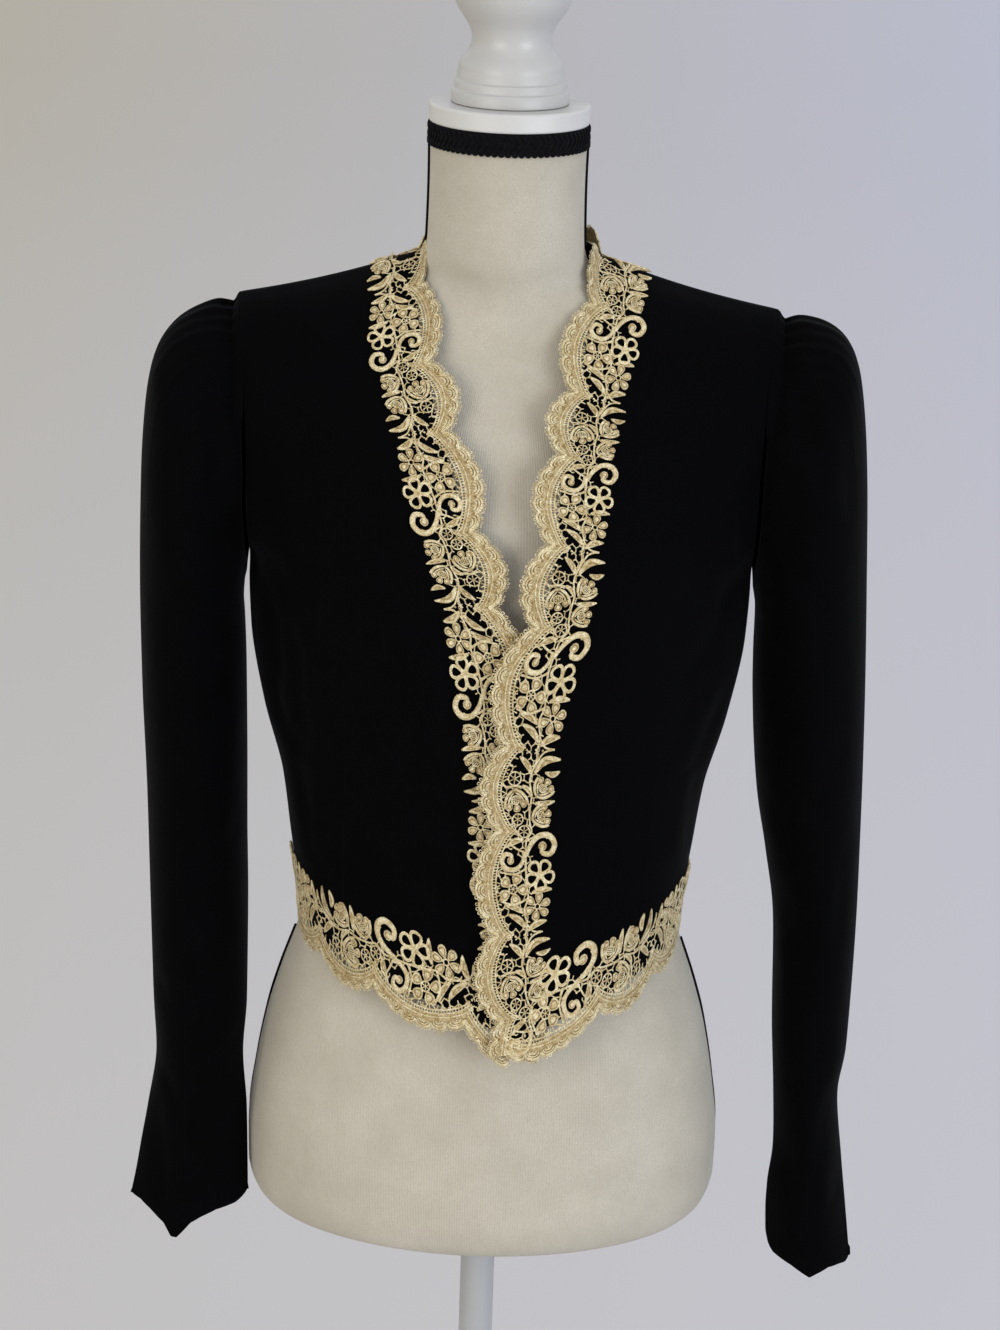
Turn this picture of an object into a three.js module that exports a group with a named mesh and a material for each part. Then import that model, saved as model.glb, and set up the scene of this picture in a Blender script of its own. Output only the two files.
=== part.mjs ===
// A black velvet evening jacket, edged with gold guipure lace, on a limbless dress form and its stand.
// Millimetres, +Z up. The front faces -Y, and the wearer's right is at -X.
// The origin is the middle of the stand's base, on the floor.
import * as THREE from 'three';
import { mergeVertices } from 'three/addons/utils/BufferGeometryUtils.js';

// Cloth
const VELVET = 1.6;            // thickness of the velvet with its backing
const SEAM = 0.5;              // space left between two pieces at a seam
// The left front stands over the right one and its lace. That space closes between two shares of its width.
const LAP = { deep: 5.4, from: 0.34, to: 0.85 };
const BUST = { forward: 9, x: 76, z: 935, wide: 48, high: 62 };
const TIP = { drop: 10, wide: 26, high: 40 };   // the point at the foot of each front
const UNDERARM = 0.55;         // where the armhole starts, as a share of the front's height
const NECK_POINT = { x: 57, y: 7.5, z: 1137 };  // where shoulder seam and neckline meet
const SHOULDER_SAG = 2.5;      // the shoulder seam dips this much between its ends

// Lace, as one repeat of eight cells
const LACE = { lift: 0.75, thick: 1.0, cell: 15.5, cellsInRepeat: 8 };
const LACE_ROWS = [-10, 0, 13, 27, 40];             // distances from the cloth's edge, outwards below zero
const NARROWER = 0.84;         // the band's share of that width on the fronts and round the neck
const NECK_CELL = 11;          // smaller cells round the back neck, where the band fans out
const LACE_WIDTH = LACE_ROWS[LACE_ROWS.length - 1];
const LACE_STAND = { from: 0.82, aside: 0.6, up: 0.5 };  // near the neck the scallops stand up against it

// Dress form and stand
const FORM_BASE = 472;
const NECK_TOP = 1220;
const NECK_LEAN = { x: -3.4, from: 850, to: 1180 };  // the neck stands right of the hips' middle
const POLE_RADIUS = 11.8;
const BASE = { radius: 175, thick: 14, edge: 4 };
const COLLAR = { radius: 24, high: 34 };
const CLEAR = 0.3;             // space between two pieces that touch
const FORM_CLEAR = 0.9;        // the same between the form and the cloth that rests on it

// Rows of a table, as objects with the named columns.
function table(names, rows) {
  const keys = names.split(' ');
  return rows.map((row) => Object.fromEntries(row.map((value, i) => [keys[i], value])));
}

// The front, from the hem to the shoulder seam. edge is the centre edge and the neckline, side the side
// seam and then the armhole. turn is how far round the body a row bends, in degrees.
const FRONT = table('v edgeZ rightX leftX edgeY sideX sideY sideZ turn', [
  [0.00, 658, 24, 14, -127, 129, 4, 692, 88],
  [0.07, 690, 29, 7, -124, 131.5, 4, 716, 88],
  [0.17, 740, 26, 4.5, -122, 135.5, 4, 746, 88],
  [0.27, 790, 20, 4.5, -124, 141, 4, 787, 88],
  [0.37, 845, 14, 5, -129, 154, 4, 836, 87],
  [0.47, 900, 8, 7, -134, 163, 4, 888, 84],
  [0.55, 938, -2, 18, -133, 164.5, 4, 925, 80],
  [0.62, 975, -13, 27, -126, 163.5, -32, 955, 62],
  [0.70, 1015, -26, 33, -111, 163.5, -46, 990, 52],
  [0.78, 1055, -40, 40, -88, 164, -47, 1025, 46],
  [0.86, 1090, -51, 46, -60, 166, -39, 1058, 42],
  [0.93, 1116, -55, 53, -31, 169.5, -23, 1085, 36],
  [0.97, 1129, -56.5, 56, -11, 171.5, -8, 1099, 26],
  [1.00, 1137, -57, 57, 7.5, 172.5, 8, 1106, 10],
]);

// The back, with the same rows. mid is the centre back.
const BACK = table('v midY midZ sideX sideY sideZ turn', [
  [0.00, 93, 688, 129, 4, 692, 88],
  [0.07, 89, 712, 131.5, 4, 716, 88],
  [0.17, 84, 744, 135.5, 4, 746, 88],
  [0.27, 86, 787, 141, 4, 787, 88],
  [0.37, 95, 838, 154, 4, 836, 87],
  [0.47, 103, 888, 163, 4, 888, 84],
  [0.55, 107, 928, 164.5, 4, 925, 80],
  [0.62, 109, 965, 162.5, 41, 957, 66],
  [0.70, 109, 1003, 162, 54, 993, 58],
  [0.78, 105, 1042, 162.5, 54, 1029, 54],
  [0.86, 94, 1082, 165, 46, 1061, 52],
  [0.93, 78, 1116, 169.5, 33, 1087, 48],
  [0.97, 67, 1134, 171.5, 22, 1099, 40],
  [1.00, 57, 1147, 172.5, 8, 1106, 30],
]);
const BACK_NECK = { share: 1 / 3, from: 0.8 };   // share of the top edge that is neckline

// Each sleeve, from the armhole to the cuff. in is the side by the body and out the far side.
const SLEEVE_RIGHT = table('w inX inZ outX outZ front back', [
  [0.00, 167, 925, 173.5, 1106, -48, 55],
  [0.03, 167.5, 921, 184, 1105.5, -56, 63],
  [0.07, 168, 915, 199, 1099, -62, 69],
  [0.12, 168, 907, 215, 1086, -67, 72],
  [0.17, 168, 898, 226, 1066, -69, 72],
  [0.22, 167, 886, 231, 1038, -68, 70],
  [0.29, 166, 866, 234, 990, -66, 68],
  [0.37, 165.3, 836, 235, 925, -63, 65],
  [0.46, 164.5, 790, 233.5, 848, -61, 60],
  [0.55, 164, 742, 230.5, 776, -58, 54],
  [0.65, 162.8, 688, 228.3, 700, -55, 45],
  [0.76, 162.5, 621, 225.3, 621, -56, 31],
  [0.82, 164.3, 586, 223.4, 586, -56, 20],
  [0.88, 161.2, 547, 228.5, 547, -54, 10],
  [0.94, 160.2, 514, 234, 511, -52, 2],
  [1.00, 159.5, 486, 240, 480, -50, -6],
]);
const SLEEVE_LEFT = table('w inX inZ outX outZ front back', [
  [0.00, 167, 925, 173.5, 1106, -48, 55],
  [0.03, 167.5, 921, 184, 1107, -56, 63],
  [0.07, 168, 915, 199, 1103.5, -62, 69],
  [0.12, 168.5, 906, 214, 1094, -67, 72],
  [0.17, 168.5, 896, 224.5, 1076, -69, 72],
  [0.22, 168.5, 883, 230, 1048, -68, 70],
  [0.29, 169, 862, 235, 1000, -66, 68],
  [0.37, 171, 830, 239, 935, -63, 65],
  [0.46, 176, 782, 243.5, 845, -61, 60],
  [0.55, 184, 740, 246, 770, -58, 54],
  [0.65, 192, 690, 247.5, 690, -55, 45],
  [0.76, 195, 616, 246, 606, -56, 31],
  [0.82, 198, 571, 242, 571, -56, 20],
  [0.88, 199.8, 531, 247, 525, -54, 10],
  [0.94, 197.6, 496, 252, 488, -52, 2],
  [1.00, 198.5, 464, 257, 450, -50, -6],
]);
// The edge of each cuff, pointed at the front: how far it hangs down, by the angle round the sleeve.
const CUFF_RIGHT = table('turn drop', [
  [0, 0], [35, 7], [60, 7.5], [86, 14.5], [103, 26], [114, 15], [130, 7], [180, 0], [360, 0],
]);
const CUFF_LEFT = table('turn drop', [
  [0, 0], [31, 9.5], [65, 10.4], [91, 14.5], [101, 10.5], [118, 5.2], [157, 4.4], [180, 0], [360, 0],
]);
const CUFF = { from: 0.88 };   // the share of the sleeve's length where the edge's shape begins
// Towards the cuff the sleeve is pressed flatter, with its sides more sharply folded.
const PRESSED = { by: 0.9, from: 0.74, to: 0.96 };
const GATHERS = { count: 7, deep: 1.7, from: 105, to: 255, fade: 0.16 };

// The form's rings. square is the exponent of each oval: 2 is an ellipse, and less is more pointed.
// Beside the neck the sizes are generous, because the cloth that lies on the form limits them there.
const FORM = table('z half front back square', [
  [472, 132, 84, 86, 2],
  [476, 149, 96, 98, 2],
  [485, 157, 102, 104, 2],
  [502, 161.5, 106, 108, 2],
  [530, 161.8, 108, 110, 2],
  [570, 157, 108, 110, 2],
  [610, 149.5, 107, 107, 2],
  [645, 139.5, 104, 101, 2],
  [680, 127.5, 99, 92, 2],
  [715, 117.5, 92, 82, 2],
  [760, 113, 87, 74, 2],
  [810, 119, 89, 75, 2],
  [870, 132, 98, 85, 2],
  [930, 143, 107, 95, 2],
  [985, 151, 103, 99, 2],
  [1030, 156, 86, 94, 2],
  [1060, 160, 71, 85, 1.9],
  [1082, 160, 60, 75, 1.7],
  [1098, 153, 54, 68, 1.5],
  [1110, 128, 50, 60, 1.3],
  [1118, 92, 48.5, 54, 1.25],
  [1126, 59, 48, 51, 1.5],
  [1135, 52, 49.5, 50, 1.9],
  [1145, 49.6, 49.2, 49.2, 2],
  [1185, 48.8, 48.8, 48.8, 2],
  [NECK_TOP, 49.3, 49.3, 49.3, 2],
]);
const FORM_BUST = { forward: 11, z: 935, turn: 36, wide: 17, high: 45 };

const { degToRad, lerp, inverseLerp, clamp, smoothstep } = THREE.MathUtils;
const bell = (x, width) => Math.exp(-((x / width) ** 2));

// All columns of a table at a place between its rows, on smooth curves that don't overshoot.
function rowAt(rows, key, at) {
  const last = rows.length - 1;
  let i = 0;
  while (i < last - 1 && rows[i + 1][key] < at) i += 1;
  const [a, b] = [rows[i], rows[i + 1]];
  const before = rows[Math.max(i - 1, 0)];
  const after = rows[Math.min(i + 2, last)];
  const span = b[key] - a[key];
  const t = clamp((at - a[key]) / span, 0, 1);
  const found = {};
  const slopeOf = (p, q, name) => (q === p ? 0 : (q[name] - p[name]) / (q[key] - p[key]));
  const shared = (one, two) => (one * two > 0 ? (2 * one * two) / (one + two) : 0);
  for (const name of Object.keys(a)) {
    const middle = slopeOf(a, b, name);
    const slopeA = span * (i === 0 ? middle : shared(slopeOf(before, a, name), middle));
    const slopeB = span * (i === last - 1 ? middle : shared(middle, slopeOf(b, after, name)));
    found[name] = a[name] * (1 + 2 * t) * (1 - t) ** 2 + slopeA * t * (1 - t) ** 2
      + b[name] * t * t * (3 - 2 * t) + slopeB * t * t * (t - 1);
  }
  return found;
}

// How much of the seam's space a panel leaves at its side: all of it below the armhole and at the shoulder.
function seamShare(v) {
  return v < UNDERARM ? 1 : 1 - smoothstep(v, UNDERARM, 0.62) + smoothstep(v, 0.97, 1);
}

// A point on the outside of a front: u runs from its centre edge to its side, v from hem to shoulder.
// side is -1 for the right front, which lies underneath, and 1 for the left.
function frontPoint(side, u, v) {
  const row = rowAt(FRONT, 'v', v);
  const edgeX = side < 0 ? row.rightX : row.leftX;
  const middle = (row.rightX + row.leftX) / 2;
  const half = side * row.sideX - middle;
  const last = degToRad(row.turn);
  const first = Math.asin(((edgeX - middle) / half) * Math.sin(last));
  const turn = lerp(first, last, u);
  const across = (Math.sin(turn) - Math.sin(first)) / (Math.sin(last) - Math.sin(first));
  const round = (Math.cos(first) - Math.cos(turn)) / (Math.cos(first) - Math.cos(last));
  const lapShare = (1 - smoothstep(u, LAP.from, LAP.to)) * (1 - smoothstep(v, 0.6, 0.85));
  const lap = side < 0 ? 0 : LAP.deep * lapShare;
  const x = lerp(edgeX, side * row.sideX, across);
  const seam = seamShare(v);
  const y = lerp(row.edgeY - lap, row.sideY - (SEAM / 2) * seam, round);
  const z = lerp(row.edgeZ, row.sideZ, across);
  const bust = BUST.forward * bell(x - side * BUST.x, BUST.wide) * bell(z - BUST.z, BUST.high);
  const tip = TIP.drop * bell(x - edgeX, TIP.wide) * bell(z - row.edgeZ + (v / 0.1) * TIP.high, TIP.high);
  const sag = SHOULDER_SAG * Math.sin(Math.PI * u) * smoothstep(v, 0.9, 1);
  return new THREE.Vector3(x, y - bust, z - tip - sag);
}

// A point on the outside of the back: u runs from -1, the right side seam, to 1, the left one.
function backPoint(u, v) {
  const side = Math.sign(u) || 1;
  const share = Math.abs(u);
  const generic = (height) => {
    const row = rowAt(BACK, 'v', height);
    const turn = degToRad(row.turn);
    const across = Math.sin(share * turn) / Math.sin(turn);
    const round = (1 - Math.cos(share * turn)) / (1 - Math.cos(turn));
    const seam = seamShare(height);
    return new THREE.Vector3(
      row.sideX * across,
      lerp(row.midY, row.sideY + (SEAM / 2) * seam, round),
      lerp(row.midZ, row.sideZ, across),
    );
  };
  const point = generic(v);
  const top = BACK[BACK.length - 1];
  const pull = smoothstep(v, BACK_NECK.from, 1);
  if (pull > 0) {
    const edge = new THREE.Vector3();
    if (share < BACK_NECK.share) {
      const angle = (share / BACK_NECK.share) * (Math.PI / 2);
      edge.set(
        NECK_POINT.x * Math.sin(angle),
        lerp(NECK_POINT.y + SEAM / 2, top.midY, Math.cos(angle)),
        lerp(NECK_POINT.z, top.midZ, Math.cos(angle) ** 2),
      );
    } else {
      const along = (share - BACK_NECK.share) / (1 - BACK_NECK.share);
      edge.set(
        lerp(NECK_POINT.x, top.sideX, along),
        lerp(NECK_POINT.y, top.sideY, along) + SEAM / 2,
        lerp(NECK_POINT.z, top.sideZ, along) - SHOULDER_SAG * Math.sin(Math.PI * along),
      );
    }
    point.add(edge.sub(generic(1)).multiplyScalar(pull));
  }
  point.x *= side;
  return point;
}

// A point on the outside of a sleeve: a turns round it in degrees, from the underarm over the front,
// and w runs from the armhole to the cuff.
function sleevePoint(side, a, w) {
  const rows = side < 0 ? SLEEVE_RIGHT : SLEEVE_LEFT;
  const ringPoint = (along) => {
    const row = rowAt(rows, 'w', along);
    const out = (1 - Math.cos(degToRad(a))) / 2;
    const swing = Math.sin(degToRad(a));
    const pressed = 1 + PRESSED.by * smoothstep(along, PRESSED.from, PRESSED.to);
    const depth = Math.sign(swing) * Math.abs(swing) ** pressed;
    const middle = (row.front + row.back) / 2;
    const deep = (row.back - row.front) / 2;
    return new THREE.Vector3(
      lerp(row.inX, row.outX, out),
      middle - deep * depth,
      lerp(row.inZ, row.outZ, out),
    );
  };
  const point = ringPoint(w);
  const armhole = armholePoint(a);
  const fade = (1 - smoothstep(w, 0, 0.2)) ** 2;
  point.add(armhole.sub(ringPoint(0)).multiplyScalar(fade));
  const gather = gatherAt(a) * GATHERS.deep * bell(w - 0.03, GATHERS.fade / 2) * smoothstep(w, 0, 0.02);
  point.z += gather;
  point.x += gather / 2;
  const edge = side < 0 ? CUFF_RIGHT : CUFF_LEFT;
  const next = Math.max(1, edge.findIndex((row) => row.turn >= a));
  const share = inverseLerp(edge[next - 1].turn, edge[next].turn, a);
  point.z -= smoothstep(w, CUFF.from, 1) * lerp(edge[next - 1].drop, edge[next].drop, share);
  point.x *= side;
  return point;
}

// The armhole's edge just outside the fronts and the back, by the angle used on the sleeve.
function armholePoint(a) {
  const front = a <= 180;
  const climb = front ? a / 180 : (360 - a) / 180;
  const v = lerp(UNDERARM, 1, climb);
  const edge = front ? frontPoint(1, 1, v) : backPoint(1, v);
  edge.x += SEAM;
  return edge;
}

// Gathers stand as ridges and dips from column to column over the sleeve's head.
function gatherAt(a) {
  if (a < GATHERS.from || a > GATHERS.to) return 0;
  const waves = ((a - GATHERS.from) / (GATHERS.to - GATHERS.from)) * GATHERS.count;
  return Math.sin(waves * 2 * Math.PI - Math.PI / 2) * 0.5 + 0.5;
}

// A panel's point past its own edges, carried on in a straight line.
function carriedOn(panel, low = 0) {
  const step = 0.004;
  return (u, v) => {
    const inU = clamp(u, low, 1);
    const inV = clamp(v, 0, 1);
    const point = panel(inU, inV);
    if (u !== inU) {
      const inner = panel(inU - Math.sign(u - inU) * step, inV);
      point.add(point.clone().sub(inner).multiplyScalar(Math.abs(u - inU) / step));
    }
    if (v !== inV) {
      const inner = panel(inU, inV - Math.sign(v - inV) * step);
      point.add(panel(inU, inV).sub(inner).multiplyScalar(Math.abs(v - inV) / step));
    }
    return point;
  };
}

// The outward direction of a surface at a point.
function outward(surface, u, v, flip) {
  const step = 0.003;
  const alongU = surface(u + step, v).sub(surface(u - step, v));
  const alongV = surface(u, v + step).sub(surface(u, v - step));
  return alongU.cross(alongV).normalize().multiplyScalar(flip);
}

// One closed geometry from loose triangles, turned so that its faces point out.
function solid(corners) {
  const flat = corners.flatMap((p) => [p.x, p.y, p.z]);
  let volume = 0;
  for (let i = 0; i < corners.length; i += 3) {
    volume += corners[i].dot(corners[i + 1].clone().cross(corners[i + 2]));
  }
  const made = new THREE.BufferGeometry();
  made.setAttribute('position', new THREE.Float32BufferAttribute(flat, 3));
  const merged = mergeVertices(made, 1e-4);
  if (volume < 0) merged.setIndex(Array.from(merged.index.array).reverse());
  merged.computeVertexNormals();
  return merged;
}

const quad = (a, b, c, d) => [a, b, c, a, c, d];

// A cloth wall over a grid of places on a surface. It closes on itself where round is true.
// keep changes the inner points at the seams, so that the wall's edge stays on its own side.
function wall(surface, us, vs, thickness, flip, keep, round = false) {
  const outer = us.map((u) => vs.map((v) => surface(u, v)));
  const inner = us.map((u, i) => vs.map((v, j) => {
    const point = outer[i][j].clone().addScaledVector(outward(surface, u, v, flip), -thickness);
    keep(point, outer[i][j], u, v);
    return point;
  }));
  const columns = us.length;
  const end = round ? columns : columns - 1;
  const corners = [];
  for (let i = 0; i < end; i += 1) {
    const k = (i + 1) % columns;
    for (let j = 0; j < vs.length - 1; j += 1) {
      corners.push(...quad(outer[i][j], outer[k][j], outer[k][j + 1], outer[i][j + 1]));
      corners.push(...quad(inner[i][j + 1], inner[k][j + 1], inner[k][j], inner[i][j]));
    }
    const top = vs.length - 1;
    corners.push(...quad(inner[i][0], inner[k][0], outer[k][0], outer[i][0]));
    corners.push(...quad(outer[i][top], outer[k][top], inner[k][top], inner[i][top]));
  }
  if (!round) {
    for (let j = 0; j < vs.length - 1; j += 1) {
      corners.push(...quad(outer[0][j], outer[0][j + 1], inner[0][j + 1], inner[0][j]));
      corners.push(...quad(inner[end][j], inner[end][j + 1], outer[end][j + 1], outer[end][j]));
    }
  }
  return solid(corners);
}

// Evenly spaced values, both ends included.
const spaced = (from, to, count) => Array.from({ length: count + 1 }, (_, i) => lerp(from, to, i / count));

// The holes of one lace repeat: the cell and row that each is in, its size and its turn.
const HOLES = table('cell row sides long wide turn', [
  [0, 2, 5, 9.0, 7.0, 20],
  [1, 1, 5, 9.5, 6.5, 60],
  [2, 3, 5, 7.5, 6.0, 100],
  [3, 1, 6, 9.5, 6.5, 100],
  [4, 2, 5, 9.5, 6.5, 15],
  [5, 1, 5, 8.5, 6.5, 70],
  [6, 2, 6, 9.0, 6.5, 150],
  [7, 1, 5, 9.5, 6.5, 110],
  [5, 3, 5, 7.5, 6.0, 60],
]);
// The lace's two uneven edges: how far each cell's start and middle lie from the outer and inner rows.
const EDGES = table('start middle innerStart innerMiddle', [
  [5.5, -0.5, -3.5, 3.0],
  [0.5, -3.0, -1.0, 4.5],
  [-0.5, -3.0, -2.5, 2.0],
  [0.5, -0.5, 0.5, 4.0],
  [5.5, 0.0, -3.0, 4.5],
  [1.0, -3.0, 1.0, 3.0],
  [0.0, -3.0, -2.0, 4.0],
  [1.0, -0.5, 0.0, 5.0],
]);

// A band of guipure lace: place(s, t) gives a point and the way out of the cloth under it.
function laceBand(length, place, { cellSize = LACE.cell, wide = 1 } = {}) {
  const cells = Math.max(1, Math.round(length / cellSize));
  const cellLength = length / cells;
  const rows = LACE_ROWS.length - 1;
  const corners = [];
  const lifted = (p, by) => {
    const { point, out } = place(p.x, p.y > 0 ? p.y * wide : p.y);
    return point.clone().addScaledVector(out, by);
  };
  const edgeOf = (cell) => EDGES[cell % LACE.cellsInRepeat];
  const at = (cell, row) => {
    let t = LACE_ROWS[row];
    if (row === 0) t += edgeOf(cell).start;
    if (row === rows) t += edgeOf(cell).innerStart;
    return new THREE.Vector2(cell * cellLength, t);
  };
  for (let cell = 0; cell < cells; cell += 1) {
    for (let row = 0; row < rows; row += 1) {
      const contour = [at(cell, row), at(cell + 1, row), at(cell + 1, row + 1), at(cell, row + 1)];
      const middle = (cell + 0.5) * cellLength;
      const outerMiddle = new THREE.Vector2(middle, LACE_ROWS[0] + edgeOf(cell).middle);
      const innerMiddle = new THREE.Vector2(middle, LACE_ROWS[rows] + edgeOf(cell).innerMiddle);
      if (row === 0) contour.splice(1, 0, outerMiddle);
      if (row === rows - 1) contour.splice(-1, 0, innerMiddle);
      const cut = HOLES.find((hole) => hole.cell === cell % LACE.cellsInRepeat && hole.row === row);
      const hole = cut ? holeOutline(cut, middle, (LACE_ROWS[row] + LACE_ROWS[row + 1]) / 2) : [];
      const flat = [...contour, ...hole];
      const outer = flat.map((p) => lifted(p, LACE.lift + LACE.thick));
      const inner = flat.map((p) => lifted(p, LACE.lift));
      for (const face of THREE.ShapeUtils.triangulateShape(contour, hole.length ? [hole] : [])) {
        const [a, b, c] = face;
        const turnsLeft = flat[b].clone().sub(flat[a]).cross(flat[c].clone().sub(flat[a])) > 0;
        const [p, q] = turnsLeft ? [b, c] : [c, b];
        corners.push(outer[a], outer[p], outer[q], inner[q], inner[p], inner[a]);
      }
      const rim = (a, b) => corners.push(...quad(outer[b], outer[a], inner[a], inner[b]));
      for (let i = 0; i < hole.length; i += 1) {
        rim(contour.length + i, contour.length + ((i + 1) % hole.length));
      }
      const last = contour.length - 1;
      if (row === 0) [[0, 1], [1, 2]].forEach(([a, b]) => rim(a, b));
      if (row === rows - 1) [[last - 2, last - 1], [last - 1, last]].forEach(([a, b]) => rim(a, b));
      if (cell === 0) rim(last, 0);
      if (cell === cells - 1) rim(row === 0 ? 2 : 1, row === 0 ? 3 : 2);
    }
  }
  return solid(corners);
}

// A hole's outline, clockwise, round its cell's middle.
function holeOutline(hole, x, y) {
  const turn = degToRad(hole.turn);
  return Array.from({ length: hole.sides }, (_, i) => {
    const angle = (-2 * Math.PI * i) / hole.sides;
    const along = (Math.cos(angle) * hole.long) / 2;
    const across = (Math.sin(angle) * hole.wide) / 2;
    return new THREE.Vector2(
      x + along * Math.cos(turn) - across * Math.sin(turn),
      y + along * Math.sin(turn) + across * Math.cos(turn),
    );
  });
}

// Arc length along one line of a surface, and the way back from a length to its parameter.
function measured(pointAt, from, to) {
  const steps = 120;
  const lengths = [0];
  for (let i = 1; i <= steps; i += 1) {
    const [a, b] = [pointAt(lerp(from, to, (i - 1) / steps)), pointAt(lerp(from, to, i / steps))];
    lengths.push(lengths[i - 1] + a.distanceTo(b));
  }
  const total = lengths[steps];
  const at = (s) => {
    if (s <= 0) return from + (s / total) * (to - from);
    let i = 1;
    while (i < steps && lengths[i] < s) i += 1;
    const part = (s - lengths[i - 1]) / (lengths[i] - lengths[i - 1]);
    return lerp(from, to, (i - 1 + part) / steps);
  };
  return { total, at };
}

// Lace along the edge of a cloth, where u or v is nothing. Its rows run over the cloth from there.
function laceAlong(surface, low, flip, { edge, from, to, start = 0, stands = 0, wide = 1 }) {
  const reach = carriedOn(surface, low);
  const line = (p) => (edge === 'u' ? reach(0, p) : reach(p, 0));
  const along = measured(line, from, to);
  const step = 0.01;
  return laceBand(along.total - start, (s, t) => {
    const p = along.at(s + start);
    const next = edge === 'u' ? reach(step, p) : reach(p, step);
    const speed = line(p).distanceTo(next) / step;
    const q = t / speed;
    const [u, v] = edge === 'u' ? [q, p] : [p, q];
    const point = reach(u, v);
    const stand = stands * smoothstep(p, LACE_STAND.from, 1) * Math.max(0, -t);
    point.x += stand * LACE_STAND.aside;
    point.z += Math.abs(stand) * LACE_STAND.up;
    return { point, out: outward(reach, u, v, flip) };
  }, { wide });
}

// Lace round the back neckline. Its rows run down the centre back in the middle, and along the
// shoulder seams at the ends.
function laceRoundNeck() {
  const reach = carriedOn(backPoint, -1);
  const along = measured((p) => backPoint(p, 1), -BACK_NECK.share, BACK_NECK.share);
  const stride = 4;
  return laceBand(along.total, (s, t) => {
    const start = along.at(s);
    const toShoulder = Math.min(1, Math.abs(start) / BACK_NECK.share);
    const lean = toShoulder ** 1.3 * (Math.PI / 2);
    let [u, v] = [start, 1];
    let left = Math.max(0, t);
    while (left > 0) {
      const go = Math.min(stride, left);
      const wideU = reach(u + 0.01, v).distanceTo(reach(u, v)) / 0.01;
      const tallV = reach(u, v - 0.01).distanceTo(reach(u, v)) / 0.01;
      u += (Math.sign(start) * Math.sin(lean) * go) / wideU;
      v -= (Math.cos(lean) * go) / tallV;
      left -= go;
    }
    const point = reach(u, Math.min(v, 1));
    const out = outward(reach, u, Math.min(v, 0.996), -1);
    const above = Math.max(0, -t);
    const middle = new THREE.Vector3(0, NECK_POINT.y, point.z);
    const away = point.clone().sub(middle).normalize();
    point.addScaledVector(away, -above * 0.3);
    point.z += above * 0.95;
    if (above > 0) out.copy(away);
    return { point, out };
  }, { cellSize: NECK_CELL, wide: NARROWER });
}

// A closed body of rings, each a list of points, with flat ends.
function ringed(rings) {
  const corners = [];
  const count = rings[0].length;
  const middleOf = (ring) => ring.reduce((sum, p) => sum.add(p), new THREE.Vector3()).divideScalar(count);
  const [low, high] = [middleOf(rings[0]), middleOf(rings[rings.length - 1])];
  for (let i = 0; i < count; i += 1) {
    const k = (i + 1) % count;
    for (let j = 0; j < rings.length - 1; j += 1) {
      corners.push(...quad(rings[j][i], rings[j][k], rings[j + 1][k], rings[j + 1][i]));
    }
    corners.push(low, rings[0][k], rings[0][i]);
    corners.push(high, rings[rings.length - 1][i], rings[rings.length - 1][k]);
  }
  return solid(corners);
}

// A point on the form: the angle is 0 at the front and 90 degrees at the left side.
function formPoint(row, degrees) {
  const angle = degToRad(degrees);
  const depth = Math.cos(angle) > 0 ? row.front : row.back;
  const oval = Math.abs(Math.sin(angle) / row.half) ** row.square
    + Math.abs(Math.cos(angle) / depth) ** row.square;
  const folded = Math.min(degrees, 360 - degrees);
  const bust = bell(folded - FORM_BUST.turn, FORM_BUST.wide) * bell(row.z - FORM_BUST.z, FORM_BUST.high);
  const radius = oval ** (-1 / row.square) + FORM_BUST.forward * bust;
  return new THREE.Vector3(radius * Math.sin(angle), -radius * Math.cos(angle), row.z);
}

const leanAt = (z) => NECK_LEAN.x * smoothstep(z, NECK_LEAN.from, NECK_LEAN.to);

// The form, held back wherever it would come nearer than a little to the cloth around it.
function formTorso(cloth) {
  const columns = 28;
  const ray = new THREE.Raycaster();
  for (const piece of cloth) piece.material.side = THREE.DoubleSide;
  const room = (degrees, z) => {
    const angle = degToRad(degrees);
    ray.set(new THREE.Vector3(leanAt(z), 0, z), new THREE.Vector3(Math.sin(angle), -Math.cos(angle), 0));
    const hit = ray.intersectObjects(cloth)[0];
    return hit ? hit.distance - FORM_CLEAR : Infinity;
  };
  return ringed(FORM.map((row) => Array.from({ length: columns }, (_, i) => {
    const degrees = (360 * i) / columns;
    const point = formPoint(row, degrees);
    const around = [-8, -4, 0, 4, 8].flatMap((a) => [-1.5, 0, 2].map((h) => room(degrees + a, row.z + h)));
    const radius = Math.hypot(point.x, point.y);
    const scale = Math.min(1, Math.min(...around) / radius);
    return new THREE.Vector3(point.x * scale + leanAt(row.z), point.y * scale, row.z);
  })));
}

// Cord sewn down the form's side seam: a thin flat strip that stands off the form a little. Over the
// hips the seam runs a little behind the side.
function seamCord(side, from, to, steps) {
  const strip = (u, v) => {
    const z = lerp(from, to, v);
    const turn = 90 + CORD.behind * (1 - smoothstep(z, CORD.low, CORD.high));
    const seam = formPoint(rowAt(FORM, 'z', z), turn);
    const out = new THREE.Vector3(seam.x, seam.y, 0).normalize();
    seam.addScaledVector(out, CLEAR + CORD.thick);
    seam.add(new THREE.Vector3(-out.y, out.x, 0).multiplyScalar(lerp(-1, 1, u) * (CORD.wide / 2)));
    return new THREE.Vector3(side * seam.x + leanAt(z), seam.y, z);
  };
  const keep = () => {};
  return wall(strip, [0, 1], spaced(0, 1, steps), CORD.thick, side, keep);
}

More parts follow.
